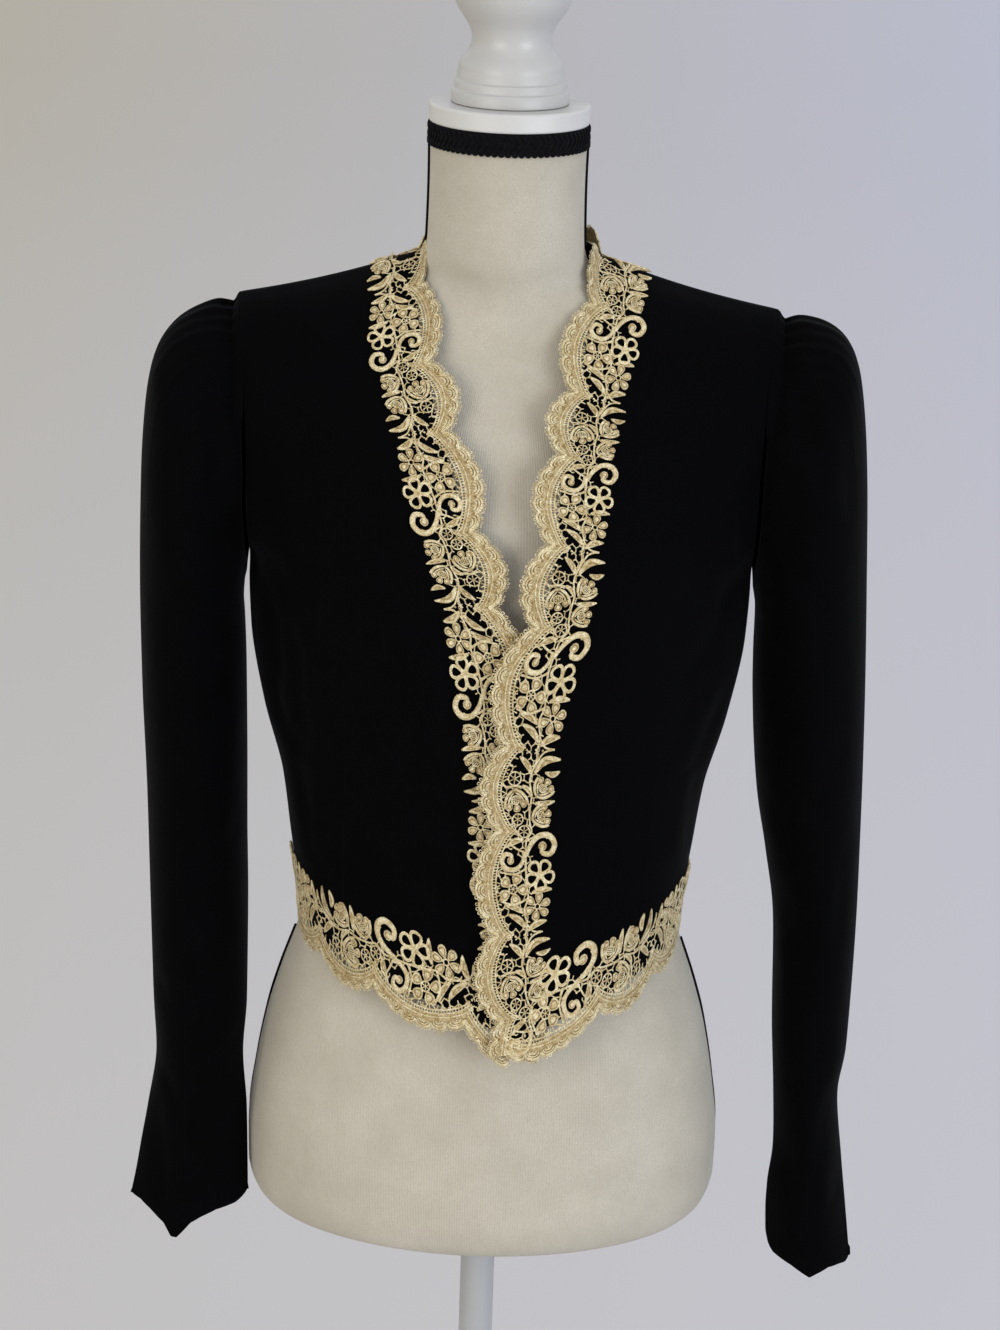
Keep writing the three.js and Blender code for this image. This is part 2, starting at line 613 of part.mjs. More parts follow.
// A geometry with its positions alone, merged.
function bare(geometry) {
  const flat = geometry.index ? geometry.toNonIndexed() : geometry;
  const { position } = flat.attributes;
  const corner = (_, i) => new THREE.Vector3().fromBufferAttribute(position, i);
  const corners = Array.from({ length: position.count }, corner);
  const kept = [];
  for (let i = 0; i < corners.length; i += 3) {
    const [a, b, c] = corners.slice(i, i + 3);
    const size = b.clone().sub(a).cross(c.clone().sub(a)).length();
    if (size > 1e-6) kept.push(a, b, c);
  }
  return solid(kept);
}

// A turned piece: radius and height pairs from the axis at the bottom to the axis at the top.
function turned(profile, segments = 28) {
  const geometry = new THREE.LatheGeometry(profile.map(([r, z]) => new THREE.Vector2(r, z)), segments);
  geometry.rotateX(Math.PI / 2);
  return bare(geometry);
}

const BRAID = { inner: 49.8, outer: 52.2, low: 1207, high: 1219.5 };
const CAP = { radius: 50.4, low: NECK_TOP + CLEAR, high: 1232.5, edge: 1.5 };
const CORD = { wide: 2.2, thick: 1.1, behind: 4, low: 600, high: 670 };
// The finial's outline above the cap: its stepped foot, its waist and its ball.
const FINIAL = [
  [0, 0], [35.5, 0], [35.5, 7], [34, 8.5], [34, 12], [32.5, 14], [31.5, 18.5], [27, 25],
  [24.0, 34], [26.5, 42], [31, 49], [34.6, 57], [36.4, 66], [35.4, 78], [29, 90],
  [16, 98.5], [0, 101],
];

const MATERIALS = {
  velvet: new THREE.MeshStandardMaterial({ color: 0x08080a, roughness: 0.95, metalness: 0 }),
  lace: new THREE.MeshStandardMaterial({ color: 0xc9ad72, roughness: 0.5, metalness: 0.35 }),
  jersey: new THREE.MeshStandardMaterial({ color: 0xcfc8b6, roughness: 0.9, metalness: 0 }),
  braid: new THREE.MeshStandardMaterial({ color: 0x0b0b0d, roughness: 0.8, metalness: 0 }),
  white: new THREE.MeshStandardMaterial({ color: 0xe6e4e2, roughness: 0.45, metalness: 0 }),
};

const object = new THREE.Group();

function add(name, geometry, material) {
  const mesh = new THREE.Mesh(geometry, material.clone());
  mesh.name = name;
  object.add(mesh);
  return mesh;
}

function addJacketBody() {
  const across = spaced(0, 1, 11);
  const up = spaced(0, 1, 18);
  for (const [name, side] of [['right', -1], ['left', 1]]) {
    const surface = (u, v) => frontPoint(side, u, v);
    const keep = (inner, outer, u, v) => {
      if (u === 1 || v === 1) inner.y = Math.min(inner.y, outer.y);
    };
    add(`front_${name}`, wall(carriedOn(surface), across, up, VELVET, side, keep), MATERIALS.velvet);
  }
  const backAcross = spaced(-1, 1, 18);
  const keep = (inner, outer, u, v) => {
    if (Math.abs(u) === 1 || v === 1) inner.y = Math.max(inner.y, outer.y);
  };
  add('back', wall(carriedOn(backPoint, -1), backAcross, up, VELVET, -1, keep), MATERIALS.velvet);
}

function addSleeves() {
  const plainFront = [0, 16, 38, 64, 86];
  const head = spaced(GATHERS.from, GATHERS.to, GATHERS.count * 2);
  const plainBack = spaced(GATHERS.to, 360, 5).slice(1, -1);
  const round = [...plainFront, ...head, ...plainBack];
  const down = [0, 0.025, 0.06, 0.1, 0.14, 0.18, 0.23, 0.3, 0.38, 0.47, 0.57, 0.67, 0.76,
    0.82, 0.88, 0.94, 1];
  for (const [name, side] of [['right', -1], ['left', 1]]) {
    const surface = (a, w) => sleevePoint(side, ((a % 360) + 360) % 360, clamp(w, 0, 1));
    const keep = (inner, outer, a, w) => {
      if (w === 0) inner.x = side * Math.max(side * inner.x, side * outer.x);
    };
    add(`sleeve_${name}`, wall(surface, round, down, VELVET, -side, keep, true), MATERIALS.velvet);
  }
}

function addLace() {
  for (const [name, side] of [['right', -1], ['left', 1]]) {
    const surface = (u, v) => frontPoint(side, u, v);
    add(`lace_front_${name}`, laceAlong(surface, 0, side, {
      edge: 'u', from: -0.022, to: 1, stands: side, wide: NARROWER,
    }), MATERIALS.lace);
    add(`lace_hem_${name}`, laceAlong(surface, 0, side, {
      edge: 'v', from: 0, to: 1, start: LACE_WIDTH + 7,
    }), MATERIALS.lace);
  }
  const hemBack = laceAlong(backPoint, -1, -1, { edge: 'v', from: -1, to: 1 });
  add('lace_hem_back', hemBack, MATERIALS.lace);
  add('lace_neck_back', laceRoundNeck(), MATERIALS.lace);
}

function addFormAndStand() {
  add('form_torso', formTorso([...object.children]), MATERIALS.jersey);
  for (const [name, side] of [['right', -1], ['left', 1]]) {
    add(`form_hip_cord_${name}`, seamCord(side, 487, 672, 12), MATERIALS.braid);
    add(`form_neck_cord_${name}`, seamCord(side, 1144, BRAID.low - CLEAR, 5), MATERIALS.braid);
  }
  const { inner, outer, low, high } = BRAID;
  const onNeck = [
    add('form_neck_braid', turned([
      [inner, low], [outer, low], [outer, high], [inner, high], [inner, low],
    ]), MATERIALS.braid),
    add('neck_cap', turned([
      [0, CAP.low], [CAP.radius, CAP.low], [CAP.radius, CAP.high - CAP.edge],
      [CAP.radius - CAP.edge, CAP.high], [0, CAP.high],
    ]), MATERIALS.white),
    add('finial', turned(FINIAL.map(([r, z]) => [r, z + CAP.high + CLEAR])), MATERIALS.white),
  ];
  for (const piece of onNeck) piece.position.x = NECK_LEAN.x;
  const collarFoot = BASE.thick + CLEAR;
  const poleTop = FORM_BASE - CLEAR;
  add('pole', turned([
    [0, collarFoot], [POLE_RADIUS, collarFoot], [POLE_RADIUS, poleTop], [0, poleTop],
  ], 24), MATERIALS.white);
  const bore = POLE_RADIUS + CLEAR;
  add('pole_collar', turned([
    [bore, collarFoot], [COLLAR.radius, collarFoot], [COLLAR.radius, collarFoot + COLLAR.high - 4],
    [COLLAR.radius - 4, collarFoot + COLLAR.high], [bore, collarFoot + COLLAR.high], [bore, collarFoot],
  ], 24), MATERIALS.white);
  add('base', turned([
    [0, 0], [BASE.radius, 0], [BASE.radius, BASE.thick - BASE.edge],
    [BASE.radius - BASE.edge, BASE.thick], [0, BASE.thick],
  ], 48), MATERIALS.white);
}

addJacketBody();
addSleeves();
addLace();
addFormAndStand();

export default object;
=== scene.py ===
import math

import bpy
import numpy as np
from mathutils import Matrix, Vector
from mathutils.bvhtree import BVHTree


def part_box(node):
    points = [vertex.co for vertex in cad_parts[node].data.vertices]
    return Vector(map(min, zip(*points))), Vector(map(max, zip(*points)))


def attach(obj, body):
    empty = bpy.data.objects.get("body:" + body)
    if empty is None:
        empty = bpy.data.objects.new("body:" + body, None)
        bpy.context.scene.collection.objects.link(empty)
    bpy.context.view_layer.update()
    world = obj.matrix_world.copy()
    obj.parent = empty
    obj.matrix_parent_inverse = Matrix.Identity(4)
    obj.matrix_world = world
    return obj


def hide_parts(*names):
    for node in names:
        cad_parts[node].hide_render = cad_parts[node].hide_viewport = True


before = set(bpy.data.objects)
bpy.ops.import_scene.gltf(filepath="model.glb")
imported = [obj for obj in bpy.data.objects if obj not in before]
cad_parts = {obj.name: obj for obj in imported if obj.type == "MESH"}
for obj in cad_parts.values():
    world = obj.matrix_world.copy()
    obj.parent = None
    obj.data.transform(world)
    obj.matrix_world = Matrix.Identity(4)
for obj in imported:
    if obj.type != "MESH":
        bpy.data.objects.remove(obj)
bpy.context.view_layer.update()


# ---------------------------------------------------------------------------------------------------
# Camera. It stands two metres off, a little above the neck of the form, and looks down at the jacket.
# It leans a little to one side, as a camera held in the hand does.
# ---------------------------------------------------------------------------------------------------
camera_place = Vector((0.002, -2.0377, 1.5478))
camera_down = math.radians(18.6)
camera_lean = math.radians(1.9)
forward = Vector((0, math.cos(camera_down), -math.sin(camera_down)))
level_right = Vector((1, 0, 0))
level_up = Vector((0, math.sin(camera_down), math.cos(camera_down)))
right = level_right * math.cos(camera_lean) + level_up * math.sin(camera_lean)
up = level_up * math.cos(camera_lean) - level_right * math.sin(camera_lean)
camera_data = bpy.data.cameras.new("camera")
LENS_MM = 88.19
SENSOR_WIDTH_MM = 36
camera_data.lens = LENS_MM
camera_data.sensor_width = SENSOR_WIDTH_MM
camera = bpy.data.objects.new("camera", camera_data)
camera.matrix_world = Matrix.Translation(camera_place) @ Matrix((right, up, -forward)).transposed().to_4x4()
bpy.context.scene.collection.objects.link(camera)
bpy.context.scene.camera = camera


# ---------------------------------------------------------------------------------------------------
# Room. A plain pale floor that curves up into a wall all round, painted matt grey. A cool window is
# far off on the right, and a warmer lamp on the left. The grey also carries painted light: it turns
# warmer towards the left and cooler and bluer towards the right, as the lamp and window would tint it.
# ---------------------------------------------------------------------------------------------------
def node(tree, kind, inputs=None, **settings):
    """A shader node. Its inputs are numbers, colours or the sockets of other nodes."""
    made = tree.nodes.new("ShaderNode" + kind)
    for name, value in settings.items():
        setattr(made, name, value)
    for name, value in (inputs or {}).items():
        socket = made.inputs[name]
        if isinstance(value, bpy.types.NodeSocket):
            tree.links.new(value, socket)
        else:
            socket.default_value = value
    return made


def new_material(name, **fixed):
    """A material with its shader, whose unchanging values are given here."""
    material = bpy.data.materials.new(name)
    material.use_nodes = True
    shader = material.node_tree.nodes["Principled BSDF"]
    for key, value in fixed.items():
        shader.inputs[key.replace("_", " ")].default_value = value
    return material, material.node_tree, shader


def ramp(tree, fac, stops):
    """A colour ramp with (place, colour) stops."""
    made = node(tree, "ValToRGB", {"Fac": fac})
    elements = made.color_ramp.elements
    while len(elements) < len(stops):
        elements.new(0.5)
    for element, (place, colour) in zip(elements, stops):
        element.position = place
        element.color = (*colour, 1)
    return made.outputs["Color"]


def deselect_all():
    if bpy.context.object and bpy.context.object.mode != "OBJECT":
        bpy.ops.object.mode_set(mode="OBJECT")
    bpy.ops.object.select_all(action="DESELECT")


def turned(name, profile, around=64, place=(0, 0)):
    """A piece turned on a lathe: (radius, height) pairs in millimetres, from the foot up."""
    deselect_all()
    radius, height = (value * 0.001 for value in profile[0])
    bpy.ops.mesh.primitive_circle_add(vertices=around, radius=radius, location=(*place, height))
    piece = bpy.context.object
    piece.name = name
    bpy.ops.object.transform_apply(location=True, rotation=True, scale=True)
    bpy.ops.object.mode_set(mode="EDIT")
    for next_radius, next_height in profile[1:]:
        rise = next_height * 0.001 - height
        grow = next_radius * 0.001 / radius
        radius, height = next_radius * 0.001, next_height * 0.001
        bpy.ops.mesh.extrude_region_move(TRANSFORM_OT_translate={"value": (0, 0, rise)})
        bpy.ops.transform.resize(value=(grow, grow, 1), center_override=(*place, height))
    bpy.ops.object.mode_set(mode="OBJECT")
    return piece


def closed_and_smooth(piece, angle=35):
    """Closes the open rims, turns the faces out and shades the gentle curves smooth."""
    bpy.ops.object.mode_set(mode="EDIT")
    bpy.ops.mesh.select_all(action="SELECT")
    bpy.ops.mesh.remove_doubles(threshold=1e-6)
    bpy.ops.mesh.fill_holes(sides=0)
    bpy.ops.mesh.select_all(action="SELECT")
    bpy.ops.mesh.normals_make_consistent(inside=False)
    bpy.ops.object.mode_set(mode="OBJECT")
    bpy.ops.object.shade_smooth_by_angle(angle=math.radians(angle))


room = turned("room", [(2, -1), (7000, -1), (8200, 60), (9400, 420), (10200, 1100), (10500, 2000)], 96)
bpy.ops.object.shade_smooth()
room_paint, tree, shader = new_material("matt grey paint", Roughness=0.95, Specular_IOR_Level=0.1)
spot = node(tree, "TexCoord").outputs["Object"]
axes = node(tree, "SeparateXYZ", {"Vector": spot})
across_room = node(tree, "MapRange", {"Value": axes.outputs["X"], "From Min": -1.6, "From Max": 1.6})
# Painted light: the grey goes from warm on the left to cool blue on the right, standing in for the lamp and
# window tint.
painted_light_wash = ramp(tree, across_room.outputs["Result"], [(0, (0.50, 0.465, 0.39)), (1, (0.54, 0.545, 0.62))])
tree.links.new(painted_light_wash, shader.inputs["Base Color"])
room.data.materials.append(room_paint)

world = bpy.data.worlds.new("soft daylight")
world.use_nodes = True
world.node_tree.nodes["Background"].inputs["Color"].default_value = (0.93, 0.95, 1.0, 1)
world.node_tree.nodes["Background"].inputs["Strength"].default_value = 1.0
bpy.context.scene.world = world
bpy.context.scene.view_settings.view_transform = "Standard"


def soft_light(name, place, target, size, power, colour):
    """A large soft lamp that faces a point of the object."""
    data = bpy.data.lights.new(name, "AREA")
    data.shape = "RECTANGLE"
    data.size, data.size_y = size
    data.energy = power
    data.color = colour
    lamp = bpy.data.objects.new(name, data)
    lamp.location = place
    lamp.rotation_euler = (Vector(target) - Vector(place)).to_track_quat("-Z", "Y").to_euler()
    bpy.context.scene.collection.objects.link(lamp)


soft_light("window_light", (2.7, -2.9, 1.35), (0, 0, 0.9), (2.0, 2.0), 84, (0.83, 0.905, 1.0))
soft_light("room_light", (-2.2, -3.1, 1.55), (0, 0, 0.9), (2.0, 2.0), 58, (1.0, 0.95, 0.86))


# ---------------------------------------------------------------------------------------------------
# Fronts. Two velvet panels, each cut away at the neck and pointed at the hem, with a stitched waist
# dart. The left one lies over the right one. Each is cut from black velvet with its nap running down.
# ---------------------------------------------------------------------------------------------------
# The columns: height share, the centre edge's height, its x on the right and on the left front,
# its depth, the side's x, depth and height, and how far round the body the row bends.
FRONT_ROWS = np.array([
    (0.00, 658, 24, 14, -127, 129, 4, 692, 88),
    (0.07, 690, 29, 7, -124, 131.5, 4, 716, 88),
    (0.17, 740, 26, 4.5, -122, 135.5, 4, 746, 88),
    (0.27, 790, 20, 4.5, -124, 141, 4, 787, 88),
    (0.37, 845, 14, 7, -129, 154, 4, 836, 87),
    (0.47, 900, 8, 12.5, -134, 163, 4, 888, 84),
    (0.55, 938, -2, 23.5, -133, 164.5, 4, 925, 80),
    (0.62, 975, -13, 30, -126, 163.5, -32, 955, 62),
    (0.70, 1015, -26, 33, -111, 163.5, -46, 990, 52),
    (0.78, 1055, -40, 40, -88, 164, -47, 1025, 46),
    (0.86, 1090, -51, 46, -60, 166, -39, 1058, 42),
    (0.93, 1116, -55, 53, -31, 169.5, -23, 1085, 36),
    (0.97, 1129, -56.5, 56, -11, 171.5, -8, 1099, 26),
    (1.00, 1137, -57, 57, 7.5, 172.5, 8, 1106, 10),
])
SEAM = 0.5
UNDERARM = 0.55
SHOULDER_SAG = 2.5


def smooth_step(x, low, high):
    t = np.clip((x - low) / (high - low), 0, 1)
    return t * t * (3 - 2 * t)


def bell(x, width):
    return np.exp(-((x / width) ** 2))


def row_values(rows, at):
    """Every column at places between the rows, on smooth curves that don't overshoot."""
    at = np.asarray(at, float)
    steps = np.diff(rows[:, 0])
    secants = np.diff(rows, axis=0) / steps[:, None]
    slopes = np.vstack([secants[:1], np.zeros((len(rows) - 2, rows.shape[1])), secants[-1:]])
    one, two = secants[:-1], secants[1:]
    agree = one * two > 0
    slopes[1:-1][agree] = (2 * one * two / np.where(agree, one + two, 1))[agree]
    i = np.clip(np.searchsorted(rows[:, 0], at) - 1, 0, len(rows) - 2)
    span = steps[i][..., None]
    t = np.clip((at - rows[i, 0]) / steps[i], 0, 1)[..., None]
    found = (rows[i] * (1 + 2 * t) * (1 - t) ** 2 + span * slopes[i] * t * (1 - t) ** 2
             + rows[i + 1] * t * t * (3 - 2 * t) + span * slopes[i + 1] * t * t * (t - 1))
    return np.moveaxis(found, -1, 0)


def front_points(side, u, v):
    """Points of a front: u from the centre edge to the side, v from the hem to the shoulder."""
    u, v = np.broadcast_arrays(np.asarray(u, float), v)
    _, edge_z, right_x, left_x, edge_y, side_x, side_y, side_z, bend = row_values(FRONT_ROWS, v)
    edge_x = right_x if side < 0 else left_x
    middle = (right_x + left_x) / 2
    last = np.radians(bend)
    first = np.arcsin((edge_x - middle) / (side * side_x - middle) * np.sin(last))
    turn = first + (last - first) * u
    across = (np.sin(turn) - np.sin(first)) / (np.sin(last) - np.sin(first))
    around = (np.cos(first) - np.cos(turn)) / (np.cos(first) - np.cos(last))
    lap = 0 if side < 0 else 5.4 * (1 - smooth_step(u, 0.34, 0.85)) * (1 - smooth_step(v, 0.6, 0.85))
    x = edge_x + (side * side_x - edge_x) * across
    seam = np.where(v < UNDERARM, 1, 1 - smooth_step(v, UNDERARM, 0.62) + smooth_step(v, 0.97, 1))
    y = (edge_y - lap) + (side_y - SEAM / 2 * seam - edge_y + lap) * around
    z = edge_z + (side_z - edge_z) * across
    bust = 9 * bell(x - side * 76, 48) * bell(z - 935, 62)
    tip = 10 * bell(x - edge_x, 26) * bell(z - edge_z + v / 0.1 * 40, 40)
    sag = SHOULDER_SAG * np.sin(np.pi * u) * smooth_step(v, 0.9, 1)
    return np.stack([x, y - bust, z - tip - sag], -1)


def outward(surface, u, v, flip):
    """The direction out of a surface."""
    step = 0.003
    along_u = surface(u + step, v) - surface(u - step, v)
    along_v = surface(u, v + step) - surface(u, v - step)
    out = np.cross(along_u, along_v) * flip
    return out / np.linalg.norm(out, axis=-1, keepdims=True)


def carried_on(panel, low=0):
    """A panel's points, carried on in straight lines past its edges."""
    step = 0.004

    def reach(u, v):
        u, v = np.broadcast_arrays(np.asarray(u, float), np.asarray(v, float))
        in_u, in_v = np.clip(u, low, 1), np.clip(v, 0, 1)
        point = panel(in_u, in_v)
        past_u, past_v = u - in_u, v - in_v
        inner_u = panel(in_u - np.sign(past_u) * step, in_v)
        inner_v = panel(in_u, in_v - np.sign(past_v) * step)
        return (point + (point - inner_u) * (np.abs(past_u) / step)[..., None]
                + (point - inner_v) * (np.abs(past_v) / step)[..., None])
    return reach


def eased(line, count=28):
    """A smooth line through a few points."""
    line = np.array(line, float)
    if len(line) == 2:
        line = np.array([line[0], line.mean(0), line[1]])
    places = np.linspace(0, len(line) - 1, count)
    i = np.clip(places.astype(int), 0, len(line) - 2)
    t = (places - i)[:, None]
    before, after = line[np.maximum(i - 1, 0)], line[np.minimum(i + 2, len(line) - 1)]
    a, b = line[i], line[i + 1]
    return 0.5 * (2 * a + (b - before) * t + (2 * before - 5 * a + 4 * b - after) * t ** 2
                  + (3 * a - 3 * b + after - before) * t ** 3)


def crease(across, height, line, deep, wide):
    """How far one soft crease moves the cloth: a trough along its line, and a lower ridge beside it."""
    line = eased(line)
    start, step = line[:-1], np.diff(line, axis=0)
    from_x, from_z = across[..., None] - start[:, 0], height[..., None] - start[:, 1]
    t = np.clip((from_x * step[:, 0] + from_z * step[:, 1]) / (step ** 2).sum(1), 0, 1)
    off_x, off_z = from_x - t * step[:, 0], from_z - t * step[:, 1]
    nearest = (off_x ** 2 + off_z ** 2).argmin(-1)[..., None]
    t, off_x, off_z = (np.take_along_axis(value, nearest, -1)[..., 0] for value in (t, off_x, off_z))
    side = np.sign(off_x * step[nearest[..., 0], 1] - off_z * step[nearest[..., 0], 0])
    distance = np.hypot(off_x, off_z)
    along = (nearest[..., 0] + t) / len(step)
    strength = deep * np.sin(np.pi * along) ** 0.6 * (0.8 + 0.2 * np.sin(9 * along + line[0, 0]))
    return strength * (0.55 * bell(side * distance - 1.8 * wide, 1.2 * wide) - bell(distance, wide))


def creased(surface, creases, facing):
    """The surface with its creases: facing is -1 for those on the front of the body and 1 for the back."""
    def points(u, v):
        plain = surface(u, v)
        depth = sum(crease(plain[..., 0], plain[..., 2], *row) for row in creases)
        out = outward(surface, u, v, 1)
        out = out * np.sign(out[..., 1:2] * facing)
        return plain + out * (depth * smooth_step(out[..., 1] * facing, 0.05, 0.4))[..., None]
    return points


def new_piece(name, points, faces):
    """A selected object with the given points, in millimetres, and faces."""
    mesh = bpy.data.meshes.new(name)
    mesh.from_pydata((points * 0.001).tolist(), [], faces.tolist())
    piece = bpy.data.objects.new(name, mesh)
    bpy.context.scene.collection.objects.link(piece)
    deselect_all()
    piece.select_set(True)
    bpy.context.view_layer.objects.active = piece
    return piece


def grid_piece(name, points, close_round):
    """An object over a grid of points in millimetres, which may close on itself."""
    columns, rows = points.shape[:2]
    index = np.arange(columns * rows).reshape(columns, rows)
    if close_round:
        index = np.vstack([index, index[:1]])
    faces = np.stack([index[:-1, :-1], index[1:, :-1], index[1:, 1:], index[:-1, 1:]], -1).reshape(-1, 4)
    return new_piece(name, points.reshape(-1, 3), faces)


def cloth(name, points, close_round, material, thick=1.6):
    """A cloth wall over a grid of points in millimetres, with its faces turned out."""
    piece = grid_piece(name, points, close_round)
    wall = piece.modifiers.new("wall", "SOLIDIFY")
    wall.thickness = thick * 0.001
    wall.offset = -1
    wall.use_even_offset = False
    bpy.ops.object.modifier_apply(modifier="wall")
    bpy.ops.object.shade_smooth_by_angle(angle=math.radians(50))
    piece.data.materials.append(material)
    return piece


def spread(start, end, count, dense=()):
    """Even places from start to end, with more of them close to the dense ones."""
    places = list(np.linspace(start, end, count))
    for middle, reach in dense:
        places += [middle + reach * share for share in (-1, -0.6, -0.3, -0.12, 0, 0.12, 0.3, 0.6, 1)]
    places = sorted({round(float(place), 5) for place in places if start <= place <= end})
    return np.array(places)


# The grain of a cloth: fine pile or yarn, over wider patches where it lies another way.
grain = bpy.data.node_groups.new("cloth grain", "ShaderNodeTree")
for name, kind, way in [
    ("Fine Scale", "NodeSocketFloat", "INPUT"), ("Patch Scale", "NodeSocketFloat", "INPUT"),
    ("Dark", "NodeSocketColor", "INPUT"), ("Light", "NodeSocketColor", "INPUT"),
    ("Color", "NodeSocketColor", "OUTPUT"), ("Roughness", "NodeSocketFloat", "OUTPUT"),
    ("Height", "NodeSocketFloat", "OUTPUT"),
]:
    grain.interface.new_socket(name=name, in_out=way, socket_type=kind)
given = grain.nodes.new("NodeGroupInput")
result = grain.nodes.new("NodeGroupOutput")
spot = node(grain, "TexCoord").outputs["Object"]
fine = node(grain, "TexNoise",
    {"Vector": spot, "Scale": given.outputs["Fine Scale"], "Detail": 2.0, "Roughness": 0.7})
patch = node(grain, "TexNoise",
    {"Vector": spot, "Scale": given.outputs["Patch Scale"], "Detail": 3.0, "Roughness": 0.6})
both = node(grain, "Math", {0: fine.outputs["Fac"], 1: patch.outputs["Fac"]}, operation="MULTIPLY")
share = node(grain, "MapRange", {"Value": both.outputs[0], "From Min": 0.12, "From Max": 0.42})
colour = node(grain, "MixRGB", {
    "Fac": share.outputs["Result"], "Color1": given.outputs["Dark"], "Color2": given.outputs["Light"]})
rough = node(grain, "MapRange",
    {"Value": patch.outputs["Fac"], "From Min": 0.3, "From Max": 0.7, "To Min": 0.78, "To Max": 0.98})
grain.links.new(colour.outputs["Color"], result.inputs["Color"])
grain.links.new(rough.outputs["Result"], result.inputs["Roughness"])
grain.links.new(fine.outputs["Fac"], result.inputs["Height"])


def cloth_grain(tree, shader, fine, patch, dark, light, bump):
    """Places the grain in a material, with its own scales and colours."""
    group = node(tree, "Group", node_tree=grain)
    values = {"Fine Scale": fine, "Patch Scale": patch, "Dark": (*dark, 1), "Light": (*light, 1)}
    for name, value in values.items():
        group.inputs[name].default_value = value
    raised = node(tree, "Bump", {"Height": group.outputs["Height"], "Strength": 1.0, "Distance": bump})
    tree.links.new(group.outputs["Color"], shader.inputs["Base Color"])
    tree.links.new(group.outputs["Roughness"], shader.inputs["Roughness"])
    tree.links.new(raised.outputs["Normal"], shader.inputs["Normal"])
    return group, raised


velvet, tree, shader = new_material(
    "black velvet", Sheen_Weight=0.035, Sheen_Roughness=0.32, Sheen_Tint=(0.62, 0.64, 0.72, 1),
    Specular_IOR_Level=0.03)
cloth_grain(tree, shader, 1500, 45, (0.0003, 0.0003, 0.0004), (0.0014, 0.0014, 0.0018), 0.00025)

# Each crease: its line down the cloth, seen from the front, how deep it is and how wide.
FRONT_CREASES = {
    -1: [
        ([(-160, 952), (-158, 912)], 1.6, 6),
        ([(-152, 930), (-142, 899), (-140, 877), (-142, 853), (-133, 833), (-120, 815)], 2.4, 6),
        ([(-130, 985), (-130, 945)], 1.4, 6),
        ([(-132, 906), (-127, 886), (-125, 859), (-122, 820)], 1.8, 5),
        ([(-128, 830), (-124, 792), (-116, 740)], 1.5, 5),
        ([(-152, 1010), (-138, 975), (-112, 945)], 1.2, 9),
        ([(-70, 890), (-66, 830), (-72, 770)], 1.0, 12),
    ],
    1: [
        ([(161, 1100), (158, 1070), (160, 1040)], 1.2, 6),
        ([(145, 1006), (156, 960)], 1.6, 7),
        ([(150, 950), (140, 915), (118, 890)], 1.4, 8),
        ([(150, 870), (138, 835), (128, 812)], 1.8, 7),
        ([(133, 815), (131, 775), (132, 750)], 1.5, 5),
        ([(72, 885), (78, 825), (70, 765)], 1.0, 12),
    ],
}
DART = {"x": 97, "from": 735, "to": 866, "deep": 0.8, "wide": 1.7}


def front_surface(side):
    """A front with its creases and its dart."""
    soft = creased(lambda u, v: front_points(side, u, v), FRONT_CREASES[side], -1)

    def points(u, v):
        found = soft(u, v)
        fold = bell(found[..., 0] - side * DART["x"], DART["wide"])
        length = smooth_step(found[..., 2], DART["from"] - 30, DART["from"]) * (
            1 - smooth_step(found[..., 2], DART["to"] - 25, DART["to"]))
        found[..., 1] += DART["deep"] * fold * length
        return found
    return points


def rolled(points, out, edge_distance, deep=1.1, wide=2.0):
    """Sinks the cloth where it rolls into a seam."""
    return points - out * (deep * np.exp(-((edge_distance / wide) ** 2)))[..., None]


def grid_out(points, flip):
    """The direction out of a grid of points."""
    out = np.cross(np.gradient(points, axis=0), np.gradient(points, axis=1)) * flip
    return out / np.maximum(np.linalg.norm(out, axis=-1, keepdims=True), 1e-9)


def lengths_along(points, axis):
    """How far along the grid's lines each point is, in millimetres."""
    steps = np.linalg.norm(np.diff(points, axis=axis), axis=-1)
    zero = np.zeros_like(np.take(steps, [0], axis=axis))
    return np.cumsum(np.concatenate([zero, steps], axis=axis), axis=axis)


JACKET = {}
for side, name in [(-1, "right"), (1, "left")]:
    u = spread(0, 1, 62, [(0.565, 0.03), (1.0, 0.02)])[:, None]
    v = spread(0, 1, 150, [(1.0, 0.008)])[None, :]
    set_back = 0.022 * smooth_step(v, 0.44, 0.54) * (1 - smooth_step(v, 0.93, 1))
    points = front_surface(side)(set_back + (1 - set_back) * u, v)
    out = grid_out(points, side)
    to_side = lengths_along(points, 0)
    to_side = to_side[-1:] - to_side
    to_shoulder = lengths_along(points, 1)
    to_shoulder = to_shoulder[:, -1:] - to_shoulder
    points = rolled(points, out, np.minimum(to_side, to_shoulder))
    if side < 0:
        points = points[::-1]
    piece = cloth(f"velvet_front_{name}", points, False, velvet)
    JACKET[f"front_{name}"] = piece
    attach(piece, "root")
    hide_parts(f"front_{name}")


